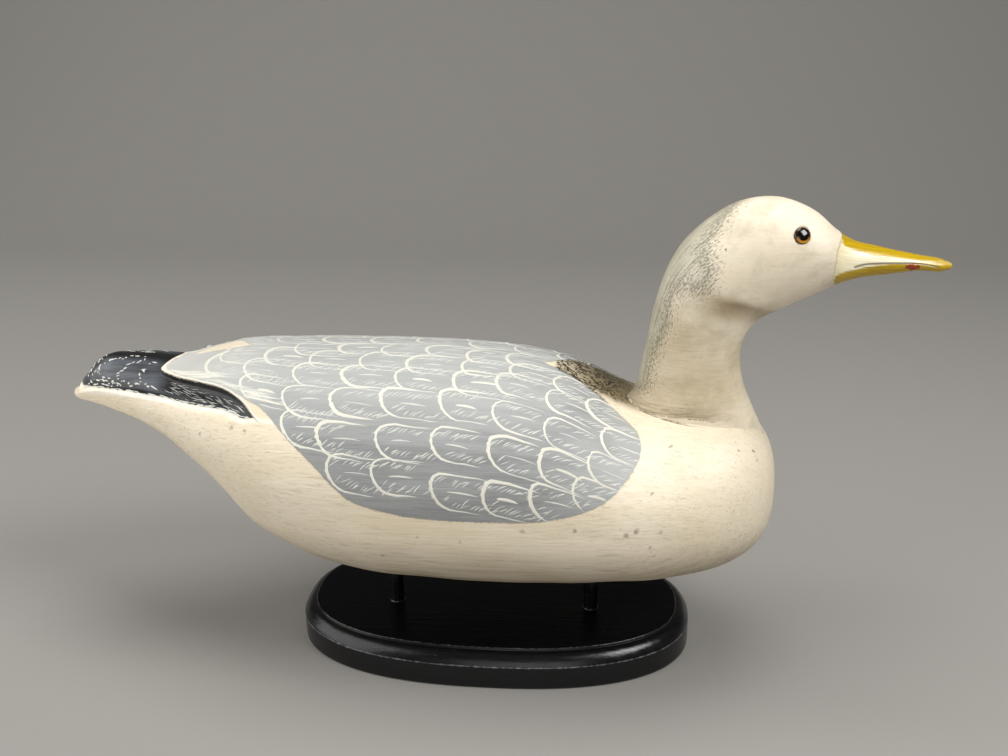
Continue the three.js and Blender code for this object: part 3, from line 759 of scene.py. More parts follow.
    # Cream along the wing's lip with a brown line below it, and the black of the wing tips with a blue-grey
    # painted sheen on its near face.
    wing_edge = add(tree, "ShaderNodeMath", {0: wing, 1: wander_fine}, operation="ADD")
    on_lip = add(tree, "ShaderNodeMath", {0: wing_edge, 1: -0.6}, operation="ADD")
    on_lip = add(tree, "ShaderNodeMath", {0: on_lip}, operation="ABSOLUTE")
    on_lip = add(tree, "ShaderNodeMapRange", {0: on_lip, 1: 0.6, 2: 1.3, 3: 0.85, 4: 0})
    on_black = add(tree, "ShaderNodeMath", {0: black, 1: wander_fine}, operation="ADD")
    on_black = add(tree, "ShaderNodeMapRange", {0: on_black, 1: -0.25, 2: 0.25, 3: 0, 4: 1})
    painted_sheen = add(tree, "ShaderNodeMapRange", {0: brush, 1: 0.3, 2: 0.7, 3: 0.1, 4: 1})
    painted_sheen = add(tree, "ShaderNodeMath", {0: painted_sheen, 1: sheen}, operation="MULTIPLY")
    black_paint = add(tree, "ShaderNodeMix", {0: painted_sheen, 6: colours.black, 7: linear("#5c6066")},
                      out=2, data_type="RGBA")
    colour = add(tree, "ShaderNodeMix", {0: on_lip, 6: colour, 7: linear("#e4dfd2")}, out=2, data_type="RGBA")
    under_lip = add(tree, "ShaderNodeMath", {0: wing_edge}, operation="ABSOLUTE")
    under_lip = add(tree, "ShaderNodeMapRange", {0: under_lip, 1: 0.15, 2: 0.55, 3: 0.6, 4: 0})
    colour = add(tree, "ShaderNodeMix", {0: under_lip, 6: colour, 7: linear("#6e5c3e")},
                 out=2, data_type="RGBA")
    colour = add(tree, "ShaderNodeMix", {0: on_black, 6: colour, 7: black_paint}, out=2, data_type="RGBA")

    # Flat paint is half rough, and the black a little glossier.
    rough = add(tree, "ShaderNodeMapRange", {0: brush, 1: 0.3, 2: 0.7, 3: 0.42, 4: 0.56})
    rough_black = add(tree, "ShaderNodeMapRange", {0: fine, 1: 0.3, 2: 0.7, 3: 0.3, 4: 0.44})
    rough = add(tree, "ShaderNodeMix", {0: on_black, 2: rough, 3: rough_black})
    height = add(tree, "ShaderNodeMath", {0: grain, 1: -0.7, 2: brush}, operation="MULTIPLY_ADD")
    height = add(tree, "ShaderNodeMath", {0: fine, 1: 0.3, 2: height}, operation="MULTIPLY_ADD")
    height = add(tree, "ShaderNodeMath", {0: squiggle, 1: -0.6, 2: height}, operation="MULTIPLY_ADD")
    normal = add(tree, "ShaderNodeBump", {"Strength": 0.55, "Distance": 0.0006, "Height": height})
    surface = add(tree, "ShaderNodeBsdfPrincipled",
                  {"Base Color": colour, "Roughness": rough, "Normal": normal, "IOR": 1.48})
    add(tree, "ShaderNodeOutputMaterial", {0: surface})
    return material


def oil_paint_on_pine():
    """The head's oil paint on pine: cream that is worn to grey-green on the nape, with a bill in streaky
    yellow and glossy cream that is partly a painted highlight."""
    colours = bpy.context.scene.gull_paint
    material, tree = new_material("oil_paint_on_pine")
    place = add(tree, "ShaderNodeTexCoord", out=3)
    bill, mouth, upper, lower, nape, red = [
        add(tree, "ShaderNodeAttribute", out=2, attribute_name=f"{name}_mm")
        for name in ("bill", "mouth", "upper_yellow", "lower_yellow", "nape", "red")
    ]
    throat_stain_and_shade, foot_mm, front, neck_part, way, around = [
        add(tree, "ShaderNodeAttribute", out=2, attribute_name=name)
        for name in ("throat_stain_and_shade", "foot_mm", "front", "neck_part", "way_mm", "around_mm")
    ]
    unrolled = add(tree, "ShaderNodeCombineXYZ", {0: way, 1: around})

    # Wavy brush lines 15 mm long and 1.2 mm wide, level round the neck, clouds 45 mm across and mottles
    # 2 mm across.
    level_place = add(tree, "ShaderNodeMapping", {0: place, 3: (70, 70, 800)})
    level_lines = add(tree, "ShaderNodeTexNoise", {0: level_place, 2: 1, 3: 4, 4: 0.65, 8: 1.2})
    cloud = add(tree, "ShaderNodeTexNoise", {0: place, 2: 22, 3: 4, 4: 0.6})
    fine = add(tree, "ShaderNodeTexNoise", {0: place, 2: 480, 3: 3, 4: 0.6})

    cloud_part = add(tree, "ShaderNodeMapRange", {0: cloud, 1: 0.36, 2: 0.68, 3: 0, 4: 0.45})
    ground = add(tree, "ShaderNodeMix", {0: cloud_part, 6: colours.cream, 7: colours.cream_deep},
                 out=2, data_type="RGBA")

    # Soft grey-brown mottles 15 mm across, with finer ones in them, over the cheeks and neck.
    mottle = add(tree, "ShaderNodeTexNoise", {0: place, 2: 65, 3: 5, 4: 0.65, 8: 0.4})
    mottle = add(tree, "ShaderNodeMapRange", {0: mottle, 1: 0.46, 2: 0.72, 3: 0, 4: 0.5})
    ground = add(tree, "ShaderNodeMix", {0: mottle, 6: ground, 7: linear("#aa9e80")}, out=2, data_type="RGBA")

    # The neck is browner than the cheeks, most of all in its brush lines.
    neck = add(tree, "ShaderNodeMapRange", {0: way, 1: 72, 2: 48, 3: 0, 4: 1},
               interpolation_type="SMOOTHSTEP")
    foot_edge = add(tree, "ShaderNodeMapRange", {0: fine, 1: 0.3, 2: 0.7, 3: -0.7, 4: 0.7})
    foot_edge = add(tree, "ShaderNodeMath", {0: foot_edge, 1: foot_mm}, operation="ADD")
    above_foot = add(tree, "ShaderNodeMapRange", {0: foot_edge, 1: -0.2, 2: 0.6, 3: 0, 4: 1})
    neck = add(tree, "ShaderNodeMath", {0: neck, 1: above_foot}, operation="MULTIPLY")
    neck = add(tree, "ShaderNodeMath", {0: neck, 1: neck_part}, operation="MULTIPLY")
    neck_tone = add(tree, "ShaderNodeMapRange", {0: cloud, 1: 0.35, 2: 0.65, 3: 0.1, 4: 0.5})
    neck_tone = add(tree, "ShaderNodeMath", {0: neck, 1: neck_tone}, operation="MULTIPLY")
    ground = add(tree, "ShaderNodeMix", {0: neck_tone, 6: ground, 7: linear("#b09a70")},
                 out=2, data_type="RGBA")
    line_depth = add(tree, "ShaderNodeMapRange", {0: neck, 1: 0, 2: 1, 3: 0.14, 4: 0.3})
    lines = add(tree, "ShaderNodeMapRange", {0: level_lines, 1: 0.46, 2: 0.76, 3: 0, 4: 1})
    lines = add(tree, "ShaderNodeMath", {0: lines, 1: line_depth}, operation="MULTIPLY")
    ground = add(tree, "ShaderNodeMix", {0: lines, 6: ground, 7: linear("#96835c")}, out=2, data_type="RGBA")

    # The neck's foot is browner, ragged and some 5 mm high, but not in front: partly dirt, and partly painted
    # shade where the neck stands on the body.
    foot = add(tree, "ShaderNodeMapRange", {0: level_lines, 1: 0.36, 2: 0.62, 3: 0.2, 4: 1})
    near_foot = add(tree, "ShaderNodeMapRange", {0: foot_edge, 1: 9, 2: 0, 3: 0, 4: 0.8})
    foot = add(tree, "ShaderNodeMath", {0: foot, 1: near_foot}, operation="MULTIPLY")
    foot = add(tree, "ShaderNodeMath", {0: foot, 1: above_foot}, operation="MULTIPLY")
    bare_front = add(tree, "ShaderNodeMath", {0: 1, 1: front}, operation="SUBTRACT")
    foot = add(tree, "ShaderNodeMath", {0: foot, 1: bare_front}, operation="MULTIPLY")
    ground = add(tree, "ShaderNodeMix", {0: foot, 6: ground, 7: linear("#715c38")}, out=2, data_type="RGBA")

    # On the nape the cream is rubbed to a grey-green undercoat, with specks about 1 mm across that are
    # thickest at the patch's edge.
    inner = add(tree, "ShaderNodeMapRange", {0: nape, 1: -1, 2: 6, 3: 0, 4: 0.9})
    inner = add(tree, "ShaderNodeMath", {0: inner, 1: cloud}, operation="MULTIPLY")
    ground = add(tree, "ShaderNodeMix", {0: inner, 6: ground, 7: linear("#a5a794")}, out=2, data_type="RGBA")
    speck_place = add(tree, "ShaderNodeMapping", {0: unrolled, 3: (0.6, 1.2, 1)})
    speck_noise = add(tree, "ShaderNodeTexNoise", {0: speck_place, 2: 1, 3: 4, 4: 0.7})
    past_edge = add(tree, "ShaderNodeMath", {0: nape, 1: -3}, operation="ADD")
    past_edge = add(tree, "ShaderNodeMath", {0: past_edge}, operation="ABSOLUTE")
    worn_edge = add(tree, "ShaderNodeMapRange", {0: past_edge, 1: 12, 2: 0, 3: -0.13, 4: 0.06})
    specks = add(tree, "ShaderNodeMath", {0: speck_noise, 1: worn_edge}, operation="ADD")
    specks = add(tree, "ShaderNodeMapRange", {0: specks, 1: 0.53, 2: 0.57, 3: 0, 4: 0.7})
    ground = add(tree, "ShaderNodeMix", {0: specks, 6: ground, 7: linear("#6c6a54")}, out=2, data_type="RGBA")

    # Long thin scratches run down the nape, 1 mm wide and 25 mm long.
    scratch_place = add(tree, "ShaderNodeMapping", {0: unrolled, 3: (0.045, 1.0, 1)})
    scratches = add(tree, "ShaderNodeTexNoise", {0: scratch_place, 2: 1, 3: 3, 4: 0.6, 8: 0.5})
    scratches = add(tree, "ShaderNodeMapRange", {0: scratches, 1: 0.54, 2: 0.62, 3: 0, 4: 0.7})
    on_nape = add(tree, "ShaderNodeMapRange", {0: nape, 1: -2, 2: 3, 3: 0, 4: 1})
    scratches = add(tree, "ShaderNodeMath", {0: scratches, 1: on_nape}, operation="MULTIPLY")
    ground = add(tree, "ShaderNodeMix", {0: scratches, 6: ground, 7: linear("#83806a")},
                 out=2, data_type="RGBA")

    # Brown fills the crease under the cheek, partly dirt and partly painted shade under the cheek's overhang,
    # and one dark fleck lies behind it.
    stain = add(tree, "ShaderNodeMapRange", {0: cloud, 1: 0.35, 2: 0.65, 3: 0.5, 4: 0.8})
    stain = add(tree, "ShaderNodeMath", {0: throat_stain_and_shade, 1: stain}, operation="MULTIPLY")
    ground = add(tree, "ShaderNodeMix", {0: stain, 6: ground, 7: linear("#7c6234")}, out=2, data_type="RGBA")
    fleck_at = head_points(*HEAD_FLECK[:2]) * MM
    fleck = add(tree, "ShaderNodeVectorMath", {0: place, 1: fleck_at}, out=1, operation="DISTANCE")
    fleck = add(tree, "ShaderNodeMapRange", {0: fleck, 1: 0.4 * MM, 2: HEAD_FLECK[2] * MM, 3: 0.85, 4: 0})
    ground = add(tree, "ShaderNodeMix", {0: fleck, 6: ground, 7: linear("#3a3228")}, out=2, data_type="RGBA")

    # The bill: yellow above and below, and glossy cream between, lightened in part as a painted highlight,
    # brushed along it.
    bill_place = add(tree, "ShaderNodeMapping", {0: unrolled, 3: (0.07, 1.3, 1)})
    bill_lines = add(tree, "ShaderNodeTexNoise", {0: bill_place, 2: 1, 3: 4, 4: 0.7})
    waver = add(tree, "ShaderNodeMapRange", {0: bill_lines, 1: 0.3, 2: 0.7, 3: -0.9, 4: 0.9})
    top_band = add(tree, "ShaderNodeMath", {0: upper, 1: waver}, operation="ADD")
    top_band = add(tree, "ShaderNodeMapRange", {0: top_band, 1: -2.2, 2: -0.9, 3: 0, 4: 1})
    low_band = add(tree, "ShaderNodeMath", {0: lower, 1: waver}, operation="ADD")
    low_band = add(tree, "ShaderNodeMapRange", {0: low_band, 1: -2.5, 2: -1.0, 3: 0, 4: 1})
    yellow_part = add(tree, "ShaderNodeMath", {0: top_band, 1: low_band}, operation="MAXIMUM")
    tip = add(tree, "ShaderNodeMapRange", {0: way, 1: 184, 2: 192, 3: 0, 4: 0.85})
    root = add(tree, "ShaderNodeMapRange", {0: bill, 1: 9, 2: 0, 3: 0, 4: 0.5})
    root = add(tree, "ShaderNodeMath", {0: root, 1: bill_lines}, operation="MULTIPLY")
    yellow_part = add(tree, "ShaderNodeMath", {0: yellow_part, 1: tip}, operation="MAXIMUM")
    yellow_part = add(tree, "ShaderNodeMath", {0: yellow_part, 1: root}, operation="MAXIMUM")
    streaks = add(tree, "ShaderNodeMapRange", {0: bill_lines, 1: 0.42, 2: 0.72, 3: 0, 4: 0.75})
    yellow = add(tree, "ShaderNodeMix", {0: streaks, 6: colours.yellow, 7: linear("#87700c")},
                 out=2, data_type="RGBA")
    pale = add(tree, "ShaderNodeMix", {0: streaks, 6: linear("#f4ecd2"), 7: linear("#dccb8c")},
               out=2, data_type="RGBA")
    bill_colour = add(tree, "ShaderNodeMix", {0: yellow_part, 6: pale, 7: yellow}, out=2, data_type="RGBA")
    line = add(tree, "ShaderNodeMapRange", {0: mouth, 1: 0.25, 2: 0.75, 3: 0.85, 4: 0})
    bill_colour = add(tree, "ShaderNodeMix", {0: line, 6: bill_colour, 7: linear("#66604f")},
                      out=2, data_type="RGBA")
    red_edge = add(tree, "ShaderNodeMapRange", {0: fine, 1: 0.3, 2: 0.7, 3: -1.5, 4: 1.5})
    red_part = add(tree, "ShaderNodeMath", {0: red, 1: red_edge}, operation="ADD")
    red_part = add(tree, "ShaderNodeMapRange", {0: red_part, 1: 2.1, 2: 2.6, 3: 0.92, 4: 0})
    bill_colour = add(tree, "ShaderNodeMix", {0: red_part, 6: bill_colour, 7: colours.red},
                      out=2, data_type="RGBA")
    on_bill = add(tree, "ShaderNodeMapRange", {0: bill, 1: -0.15, 2: 0.15, 3: 0, 4: 1})
    colour = add(tree, "ShaderNodeMix", {0: on_bill, 6: ground, 7: bill_colour}, out=2, data_type="RGBA")

    # A thin brown line lies where the bill's paint meets the face.
    join = add(tree, "ShaderNodeMath", {0: bill}, operation="ABSOLUTE")
    join = add(tree, "ShaderNodeMapRange", {0: join, 1: 0.1, 2: 0.6, 3: 0.35, 4: 0})
    colour = add(tree, "ShaderNodeMix", {0: join, 6: colour, 7: linear("#8a7340")}, out=2, data_type="RGBA")

    # The rubbed nape and the bill are glossier than the rest.
    rough = add(tree, "ShaderNodeMapRange", {0: cloud, 1: 0.3, 2: 0.7, 3: 0.4, 4: 0.54})
    glossy = add(tree, "ShaderNodeMapRange", {0: nape, 1: 3, 2: 8, 3: 0, 4: 0.6})
    rough = add(tree, "ShaderNodeMix", {0: glossy, 2: rough, 3: 0.22})
    rough = add(tree, "ShaderNodeMix", {0: on_bill, 2: rough, 3: 0.24})
    height = add(tree, "ShaderNodeMath", {0: lines, 1: -1.2, 2: cloud}, operation="MULTIPLY_ADD")
    height = add(tree, "ShaderNodeMath", {0: fine, 1: 0.35, 2: height}, operation="MULTIPLY_ADD")
    height = add(tree, "ShaderNodeMath", {0: specks, 1: -0.5, 2: height}, operation="MULTIPLY_ADD")
    height = add(tree, "ShaderNodeMath", {0: scratches, 1: -0.6, 2: height}, operation="MULTIPLY_ADD")
    normal = add(tree, "ShaderNodeBump", {"Strength": 0.4, "Distance": 0.0006, "Height": height})
    surface = add(tree, "ShaderNodeBsdfPrincipled",
                  {"Base Color": colour, "Roughness": rough, "Normal": normal, "IOR": 1.48})
    add(tree, "ShaderNodeOutputMaterial", {0: surface})
    return material


def brushed_white_oil_paint():
    """Thin white oil paint laid on with a fine brush: cream where it lies thick, and greyer where the
    brush ran thin or dry."""
    colours = bpy.context.scene.gull_paint
    material, tree = new_material("brushed_white_oil_paint")
    place = add(tree, "ShaderNodeTexCoord", out=3)
    cover = add(tree, "ShaderNodeAttribute", out=2, attribute_name="cover")
    patches = add(tree, "ShaderNodeTexNoise", {0: place, 2: 330, 3: 4, 4: 0.7})
    laid = add(tree, "ShaderNodeMath", {0: cover, 1: patches}, operation="ADD")
    laid = add(tree, "ShaderNodeMapRange", {0: laid, 1: 0.35, 2: 1.15, 3: 0, 4: 1})
    colour = add(tree, "ShaderNodeMix", {0: laid, 6: linear("#bfc1bc"), 7: colours.stroke},
                 out=2, data_type="RGBA")
    normal = add(tree, "ShaderNodeBump", {"Strength": 0.3, "Distance": 0.0003, "Height": patches})
    surface = add(tree, "ShaderNodeBsdfPrincipled",
                  {"Base Color": colour, "Roughness": 0.5, "Normal": normal, "IOR": 1.48})
    add(tree, "ShaderNodeOutputMaterial", {0: surface})
    return material


def amber_glass_eye():
    """A pressed glass eye, amber round a black pupil, under a clear polished front with sharp reflections."""
    material, tree = new_material("amber_glass_eye")
    radius = add(tree, "ShaderNodeAttribute", out=2, attribute_name="radius_mm")
    level = add(tree, "ShaderNodeAttribute", out=2, attribute_name="level_mm")
    # The amber is painted dark at the top and bright low down: painted light, standing for the light that the
    # glass gathers from above.
    painted_glow = add(tree, "ShaderNodeMapRange", {0: level, 1: 0.2, 2: -3.3, 3: 0, 4: 1})
    amber = add(tree, "ShaderNodeMix", {0: painted_glow, 6: linear("#2a1304"), 7: linear("#e09a26")},
                out=2, data_type="RGBA")
    pupil = add(tree, "ShaderNodeMapRange", {0: radius, 1: 2.6, 2: 2.95, 3: 1, 4: 0})
    colour = add(tree, "ShaderNodeMix", {0: pupil, 6: amber, 7: linear("#050404")}, out=2, data_type="RGBA")
    rim = add(tree, "ShaderNodeMapRange", {0: radius, 1: 3.65, 2: 3.95, 3: 0, 4: 0.9})
    colour = add(tree, "ShaderNodeMix", {0: rim, 6: colour, 7: linear("#2a1606")}, out=2, data_type="RGBA")
    surface = add(tree, "ShaderNodeBsdfPrincipled",
                  {"Base Color": colour, "Roughness": 0.1, "IOR": 1.5})
    add(tree, "ShaderNodeOutputMaterial", {0: surface})
    return material


def satin_black_enamel():
    """Black enamel brushed on a milled board and dowels: deep satin black that is duller on the flat top,
    faint grain and brush lines, fine light specks, and an arris lightened both by wear and as a painted
    highlight."""
    colours = bpy.context.scene.gull_paint
    material, tree = new_material("satin_black_enamel")
    place = add(tree, "ShaderNodeTexCoord", out=3)
    worn = add(tree, "ShaderNodeAttribute", out=2, attribute_name="worn")
    polish = add(tree, "ShaderNodeAttribute", out=2, attribute_name="polish")
    grain_place = add(tree, "ShaderNodeMapping", {0: place, 3: (25, 520, 520)})
    grain = add(tree, "ShaderNodeTexNoise", {0: grain_place, 2: 1, 3: 4, 4: 0.65})
    fine = add(tree, "ShaderNodeTexNoise", {0: place, 2: 500, 3: 4, 4: 0.7})
    specks = add(tree, "ShaderNodeMapRange", {0: fine, 1: 0.66, 2: 0.72, 3: 0, 4: 0.5})
    colour = add(tree, "ShaderNodeMix", {0: specks, 6: colours.black, 7: linear("#54504a")},
                 out=2, data_type="RGBA")
    # Marked edges are lightened to grey, partly where the paint has gone through and partly as a painted
    # highlight along the board's arris and top edge.
    highlight_and_wear = add(tree, "ShaderNodeMath", {0: worn, 1: fine}, operation="MULTIPLY")
    highlight_and_wear = add(tree, "ShaderNodeMapRange", {0: highlight_and_wear, 1: 0.34, 2: 0.56, 3: 0, 4: 0.8})
    colour = add(tree, "ShaderNodeMix", {0: highlight_and_wear, 6: colour, 7: linear("#77767a")}, out=2, data_type="RGBA")
    rough = add(tree, "ShaderNodeMapRange", {0: grain, 1: 0.3, 2: 0.7, 3: 0.14, 4: 0.28})
    lumps = add(tree, "ShaderNodeMath", {0: fine, 1: 0.6, 2: grain}, operation="MULTIPLY_ADD")
    normal = add(tree, "ShaderNodeBump", {"Strength": 0.35, "Distance": 0.0004, "Height": lumps})
    surface = add(tree, "ShaderNodeBsdfPrincipled",
                  {"Base Color": colour, "Roughness": rough, "Normal": normal, "IOR": 1.5,
                   "Specular IOR Level": polish})
    add(tree, "ShaderNodeOutputMaterial", {0: surface})
    return material


def backdrop_paper():
    """Matt paper sweep: a plain pale grey with no shine."""
    material, tree = new_material("backdrop_paper")
    surface = add(tree, "ShaderNodeBsdfPrincipled",
                  {"Base Color": bpy.context.scene.gull_stage.floor, "Roughness": 0.85})
    add(tree, "ShaderNodeOutputMaterial", {0: surface})
    return material


def shared(maker):
    """A material made once and used by several pieces."""
    return bpy.data.materials.get(maker.__name__) or maker()


def strokes(bm, paths, widths, thickness):
    """Slim closed strokes of paint on the body, one for each path of chart places.

    widths holds the full width at each place. A stroke is domed, thinner where it is narrow, and its
    edges and underside are sunk in the surface."""
    paths, widths = np.array(paths, float), np.array(widths, float)
    count, places = widths.shape
    centre = body_points(paths[..., 0], paths[..., 1])
    out = body_points(paths[..., 0], paths[..., 1], 1.0) - centre
    out /= np.linalg.norm(out, axis=-1, keepdims=True)
    step = np.gradient(centre, axis=1)
    side = np.cross(out, step)
    side /= np.linalg.norm(side, axis=-1, keepdims=True) + 1e-9
    half = (widths / 2)[..., None]
    top = thickness * np.minimum(1, widths / 0.8)[..., None]
    corners = [
        centre + side * half - out * STROKE_SUNK,
        centre + out * top,
        centre - side * half - out * STROKE_SUNK,
        centre - out * (STROKE_SUNK + 0.05),
    ]
    ring = np.stack([*corners, corners[0]], axis=2)
    cover = bm.verts.layers.float.get("cover") or bm.verts.layers.float.new("cover")
    for k in range(count):
        grid = bmesh.ops.create_grid(bm, x_segments=places - 1, y_segments=4, size=1)["verts"]
        for vert in grid:
            i = round((vert.co.x + 1) / 2 * (places - 1))
            j = round((vert.co.y + 1) / 2 * 4)
            vert.co = ring[k, i, j] * MM
            vert[cover] = smoothstep(0.5, 1.9, widths[k, i])


def on_side(x, angle, side):
    """Chart places on the given side of the bird, from places on the right side: -1 is right, 1 left."""
    return np.stack([x, angle if side < 0 else 180 - angle], -1)


def feather_paths(tip_x, tip_angle, side, draw):
    """The strokes of one feather: its outline and quill as long paths, and its barbs as short ones."""
    here = body_points([tip_x, tip_x], [tip_angle - 1, tip_angle + 1])
    per_degree = max(0.3, np.linalg.norm(here[1] - here[0]) / 2)
    length = FEATHER_LENGTH * draw.uniform(0.9, 1.08)
    half = FEATHER_HEIGHT / 2 * draw.uniform(0.92, 1.05)
    nose = FEATHER_NOSE * draw.uniform(0.85, 1.1)
    tilt = -math.radians(np.interp(tip_x, [-100, 60], [1, 9]) + draw.normal() * 1.2)

    def placed(s, t):
        x = tip_x + s * math.cos(tilt) - t * math.sin(tilt)
        angle = tip_angle + (s * math.sin(tilt) + t * math.cos(tilt)) / per_degree
        return on_side(x, angle, side)

    # The outline: a half ellipse for the nose, then two nearly straight sides, painted heavier at the nose.
    q = np.linspace(-1, 1, STROKE_PLACES)
    turn = np.clip(q, -0.5, 0.5) * math.pi
    reach = np.maximum(0, np.abs(q) - 0.5) * 2
    s = nose * (1 - np.cos(turn)) + reach * (length - nose)
    t = half * np.sin(turn) + draw.normal(size=STROKE_PLACES) * 0.15
    slant = FEATHER_SLANT * draw.uniform(0.5, 1.2) * (1 - smoothstep(55, 80, tip_angle))
    s = s * np.where(q > 0, draw.uniform(0.85, 1.05), draw.uniform(0.7, 0.95)) - slant * t
    outline = placed(s, t)
    heavy = draw.uniform(0.7, 2.3)
    shift = draw.uniform(-0.25, 0.25)
    outline_width = 1.05 + heavy * np.cos(np.clip(q - shift, -1, 1) * math.pi / 2) ** 3 - 0.35 * np.abs(q)
    outline_width += draw.normal(size=STROKE_PLACES) * 0.09

    u = np.linspace(0, 1, STROKE_PLACES)
    thick = draw.choice([0.7, 0.9, 1.1, 1.9])
    quill_s = draw.uniform(7, 10) + u * draw.uniform(11, 18)
    quill = placed(quill_s, draw.uniform(-0.08, 0.08) * quill_s + 0.5 * np.sin(u * 3))
    quill_width = thick * np.sin(np.clip(u * 1.05 + 0.05, 0, 1) * math.pi) ** 0.5

    barbs = []
    for edge in (-1, 1):
        for start in np.arange(4, length - 3, draw.uniform(1.6, 2.3)):
            if draw.random() < 0.12:
                continue
            start = start + draw.uniform(-0.8, 0.8)
            long = draw.uniform(4, 8)
            lean = math.radians(draw.uniform(24, 42))
            v = np.linspace(0, 1, 4)
            inset = half * draw.uniform(0.72, 0.9) * min(1, 0.45 + start / 16)
            s = start - edge * v * long * math.cos(lean)
            t = edge * inset - edge * v * long * math.sin(lean) + 0.25 * np.sin(v * 3)
            barbs.append((placed(s - slant * t, t), draw.uniform(0.5, 0.95) * np.array([0.3, 1, 0.9, 0.2])))
    return [(outline, outline_width), (quill, quill_width)], barbs


class GullCarving(bpy.types.PropertyGroup):
    """Sizes of the carving that a user may change."""

    step_depth: bpy.props.FloatProperty(
        name="Step Depth", description="How deep the tail step lies below the wings",
        default=3.2 * MM, min=0, precision=4, unit="LENGTH")
    step_edge: bpy.props.FloatProperty(
        name="Step Edge", description="Width of the slope at the wings' ends",
        default=1.7 * MM, min=0.5 * MM, precision=4, unit="LENGTH")
    wing_lip: bpy.props.FloatProperty(
        name="Wing Lip", description="Height of the lip along the wings' ends",
        default=0.6 * MM, min=0, precision=4, unit="LENGTH")
    unevenness: bpy.props.FloatProperty(
        name="Unevenness", description="Height of the waves that hand shaping left",
        default=0.22 * MM, min=0, precision=4, unit="LENGTH")
    stroke_height: bpy.props.FloatProperty(
        name="Stroke Height", description="Thickness of the white feather strokes",
        default=0.1 * MM, min=0.02 * MM, precision=4, unit="LENGTH")


class GullPaint(bpy.types.PropertyGroup):
    """Colours of the paint."""

    cream: bpy.props.FloatVectorProperty(
        name="Cream", description="Ground colour of the bird", size=4, subtype="COLOR",
        default=linear("#e8dcc6"), min=0, max=1)
    cream_deep: bpy.props.FloatVectorProperty(
        name="Aged Cream", description="Cream where the paint has yellowed", size=4, subtype="COLOR",
        default=linear("#d8c8a6"), min=0, max=1)
    grey: bpy.props.FloatVectorProperty(
        name="Grey", description="The back and wings", size=4, subtype="COLOR",
        default=linear("#818281"), min=0, max=1)
    grey_light: bpy.props.FloatVectorProperty(
        name="Light Grey", description="Brush lines in the grey", size=4, subtype="COLOR",
        default=linear("#999a98"), min=0, max=1)
    black: bpy.props.FloatVectorProperty(
        name="Black", description="Wing tips and base", size=4, subtype="COLOR",
        default=linear("#0c0c0e"), min=0, max=1)
    stroke: bpy.props.FloatVectorProperty(
        name="Feather White", description="Painted feather lines", size=4, subtype="COLOR",
        default=linear("#dad7c9"), min=0, max=1)
    yellow: bpy.props.FloatVectorProperty(
        name="Bill Yellow", description="Upper and lower edge of the bill", size=4, subtype="COLOR",
        default=linear("#bd9b12"), min=0, max=1)
    red: bpy.props.FloatVectorProperty(
        name="Bill Red", description="The dab near the bill's tip", size=4, subtype="COLOR",
        default=linear("#8e2418"), min=0, max=1)


class GullStage(bpy.types.PropertyGroup):
    """The floor and the lights."""

    floor: bpy.props.FloatVectorProperty(
        name="Floor", description="Colour of the paper sweep", size=4, subtype="COLOR",
        default=linear("#94918c"), min=0, max=1)
    left: bpy.props.FloatProperty(
        name="Left Light", description="Power of the large light on the left", default=10, min=0,
        unit="POWER")
    right: bpy.props.FloatProperty(
        name="Right Light", description="Power of the light above on the right", default=11, min=0,
        unit="POWER")
    front: bpy.props.FloatProperty(
        name="Front Light", description="Power of the light in front", default=3.2, min=0, unit="POWER")
    overhead: bpy.props.FloatProperty(
        name="Overhead Light", description="Power of the light above", default=9, min=0, unit="POWER")
    backdrop: bpy.props.FloatProperty(
        name="Backdrop Light", description="Power of the light on the sweep's left side", default=3, min=0,
        unit="POWER")
    sky: bpy.props.FloatProperty(
        name="Room Light", description="Strength of the light from all round", default=0.14, min=0)


class GULL_OT_body(bpy.types.Operator):
    """Carves and paints the body"""

    bl_idname = "gull.body"
    bl_label = "Body"

    def execute(self, context):
        # Rows lie at equal steps along the widest line, closer on the tail.
        tail_x = np.linspace(TAIL_TIP, BREAST_START, 3000)
        breast_x = BREAST_START + BREAST_LENGTH * np.sin(np.linspace(0, math.pi / 2, 1500)[1:])
        all_x = np.concatenate([tail_x, breast_x])
        closeness = 1 + 1.6 * smoothstep(-105, -118, all_x)
        at = evenly(np.stack([all_x, half_width(all_x)], -1), BODY_ROWS - 1, closeness)
        row_x = np.concatenate([[TAIL_TIP], np.interp(at, np.arange(len(all_x)), all_x)])
        half_lower = LOWER_COLUMNS // 2 + 1
        row_angle = np.concatenate([
            np.linspace(-90, 0, half_lower)[:-1], np.linspace(0, 180, UPPER_COLUMNS + 1),
            np.linspace(180, 270, half_lower)[1:],
        ])
        columns = UPPER_COLUMNS + LOWER_COLUMNS

        def place(u, v):
            row = np.rint(u * BODY_ROWS).astype(int)
            x, angle = row_x[row], row_angle[np.rint(v * columns).astype(int)]
            points = body_points(x, angle)
            tip = row == 0
            points[tip] = points[tip].mean(axis=0)
            return points, body_marks(points, x, angle)

        mesh = grid_mesh("body_carving", BODY_ROWS, columns, place)
        finish_piece("body_carving", mesh, shared(oil_paint_on_cedar), "painted_body", "body")
        return {"FINISHED"}


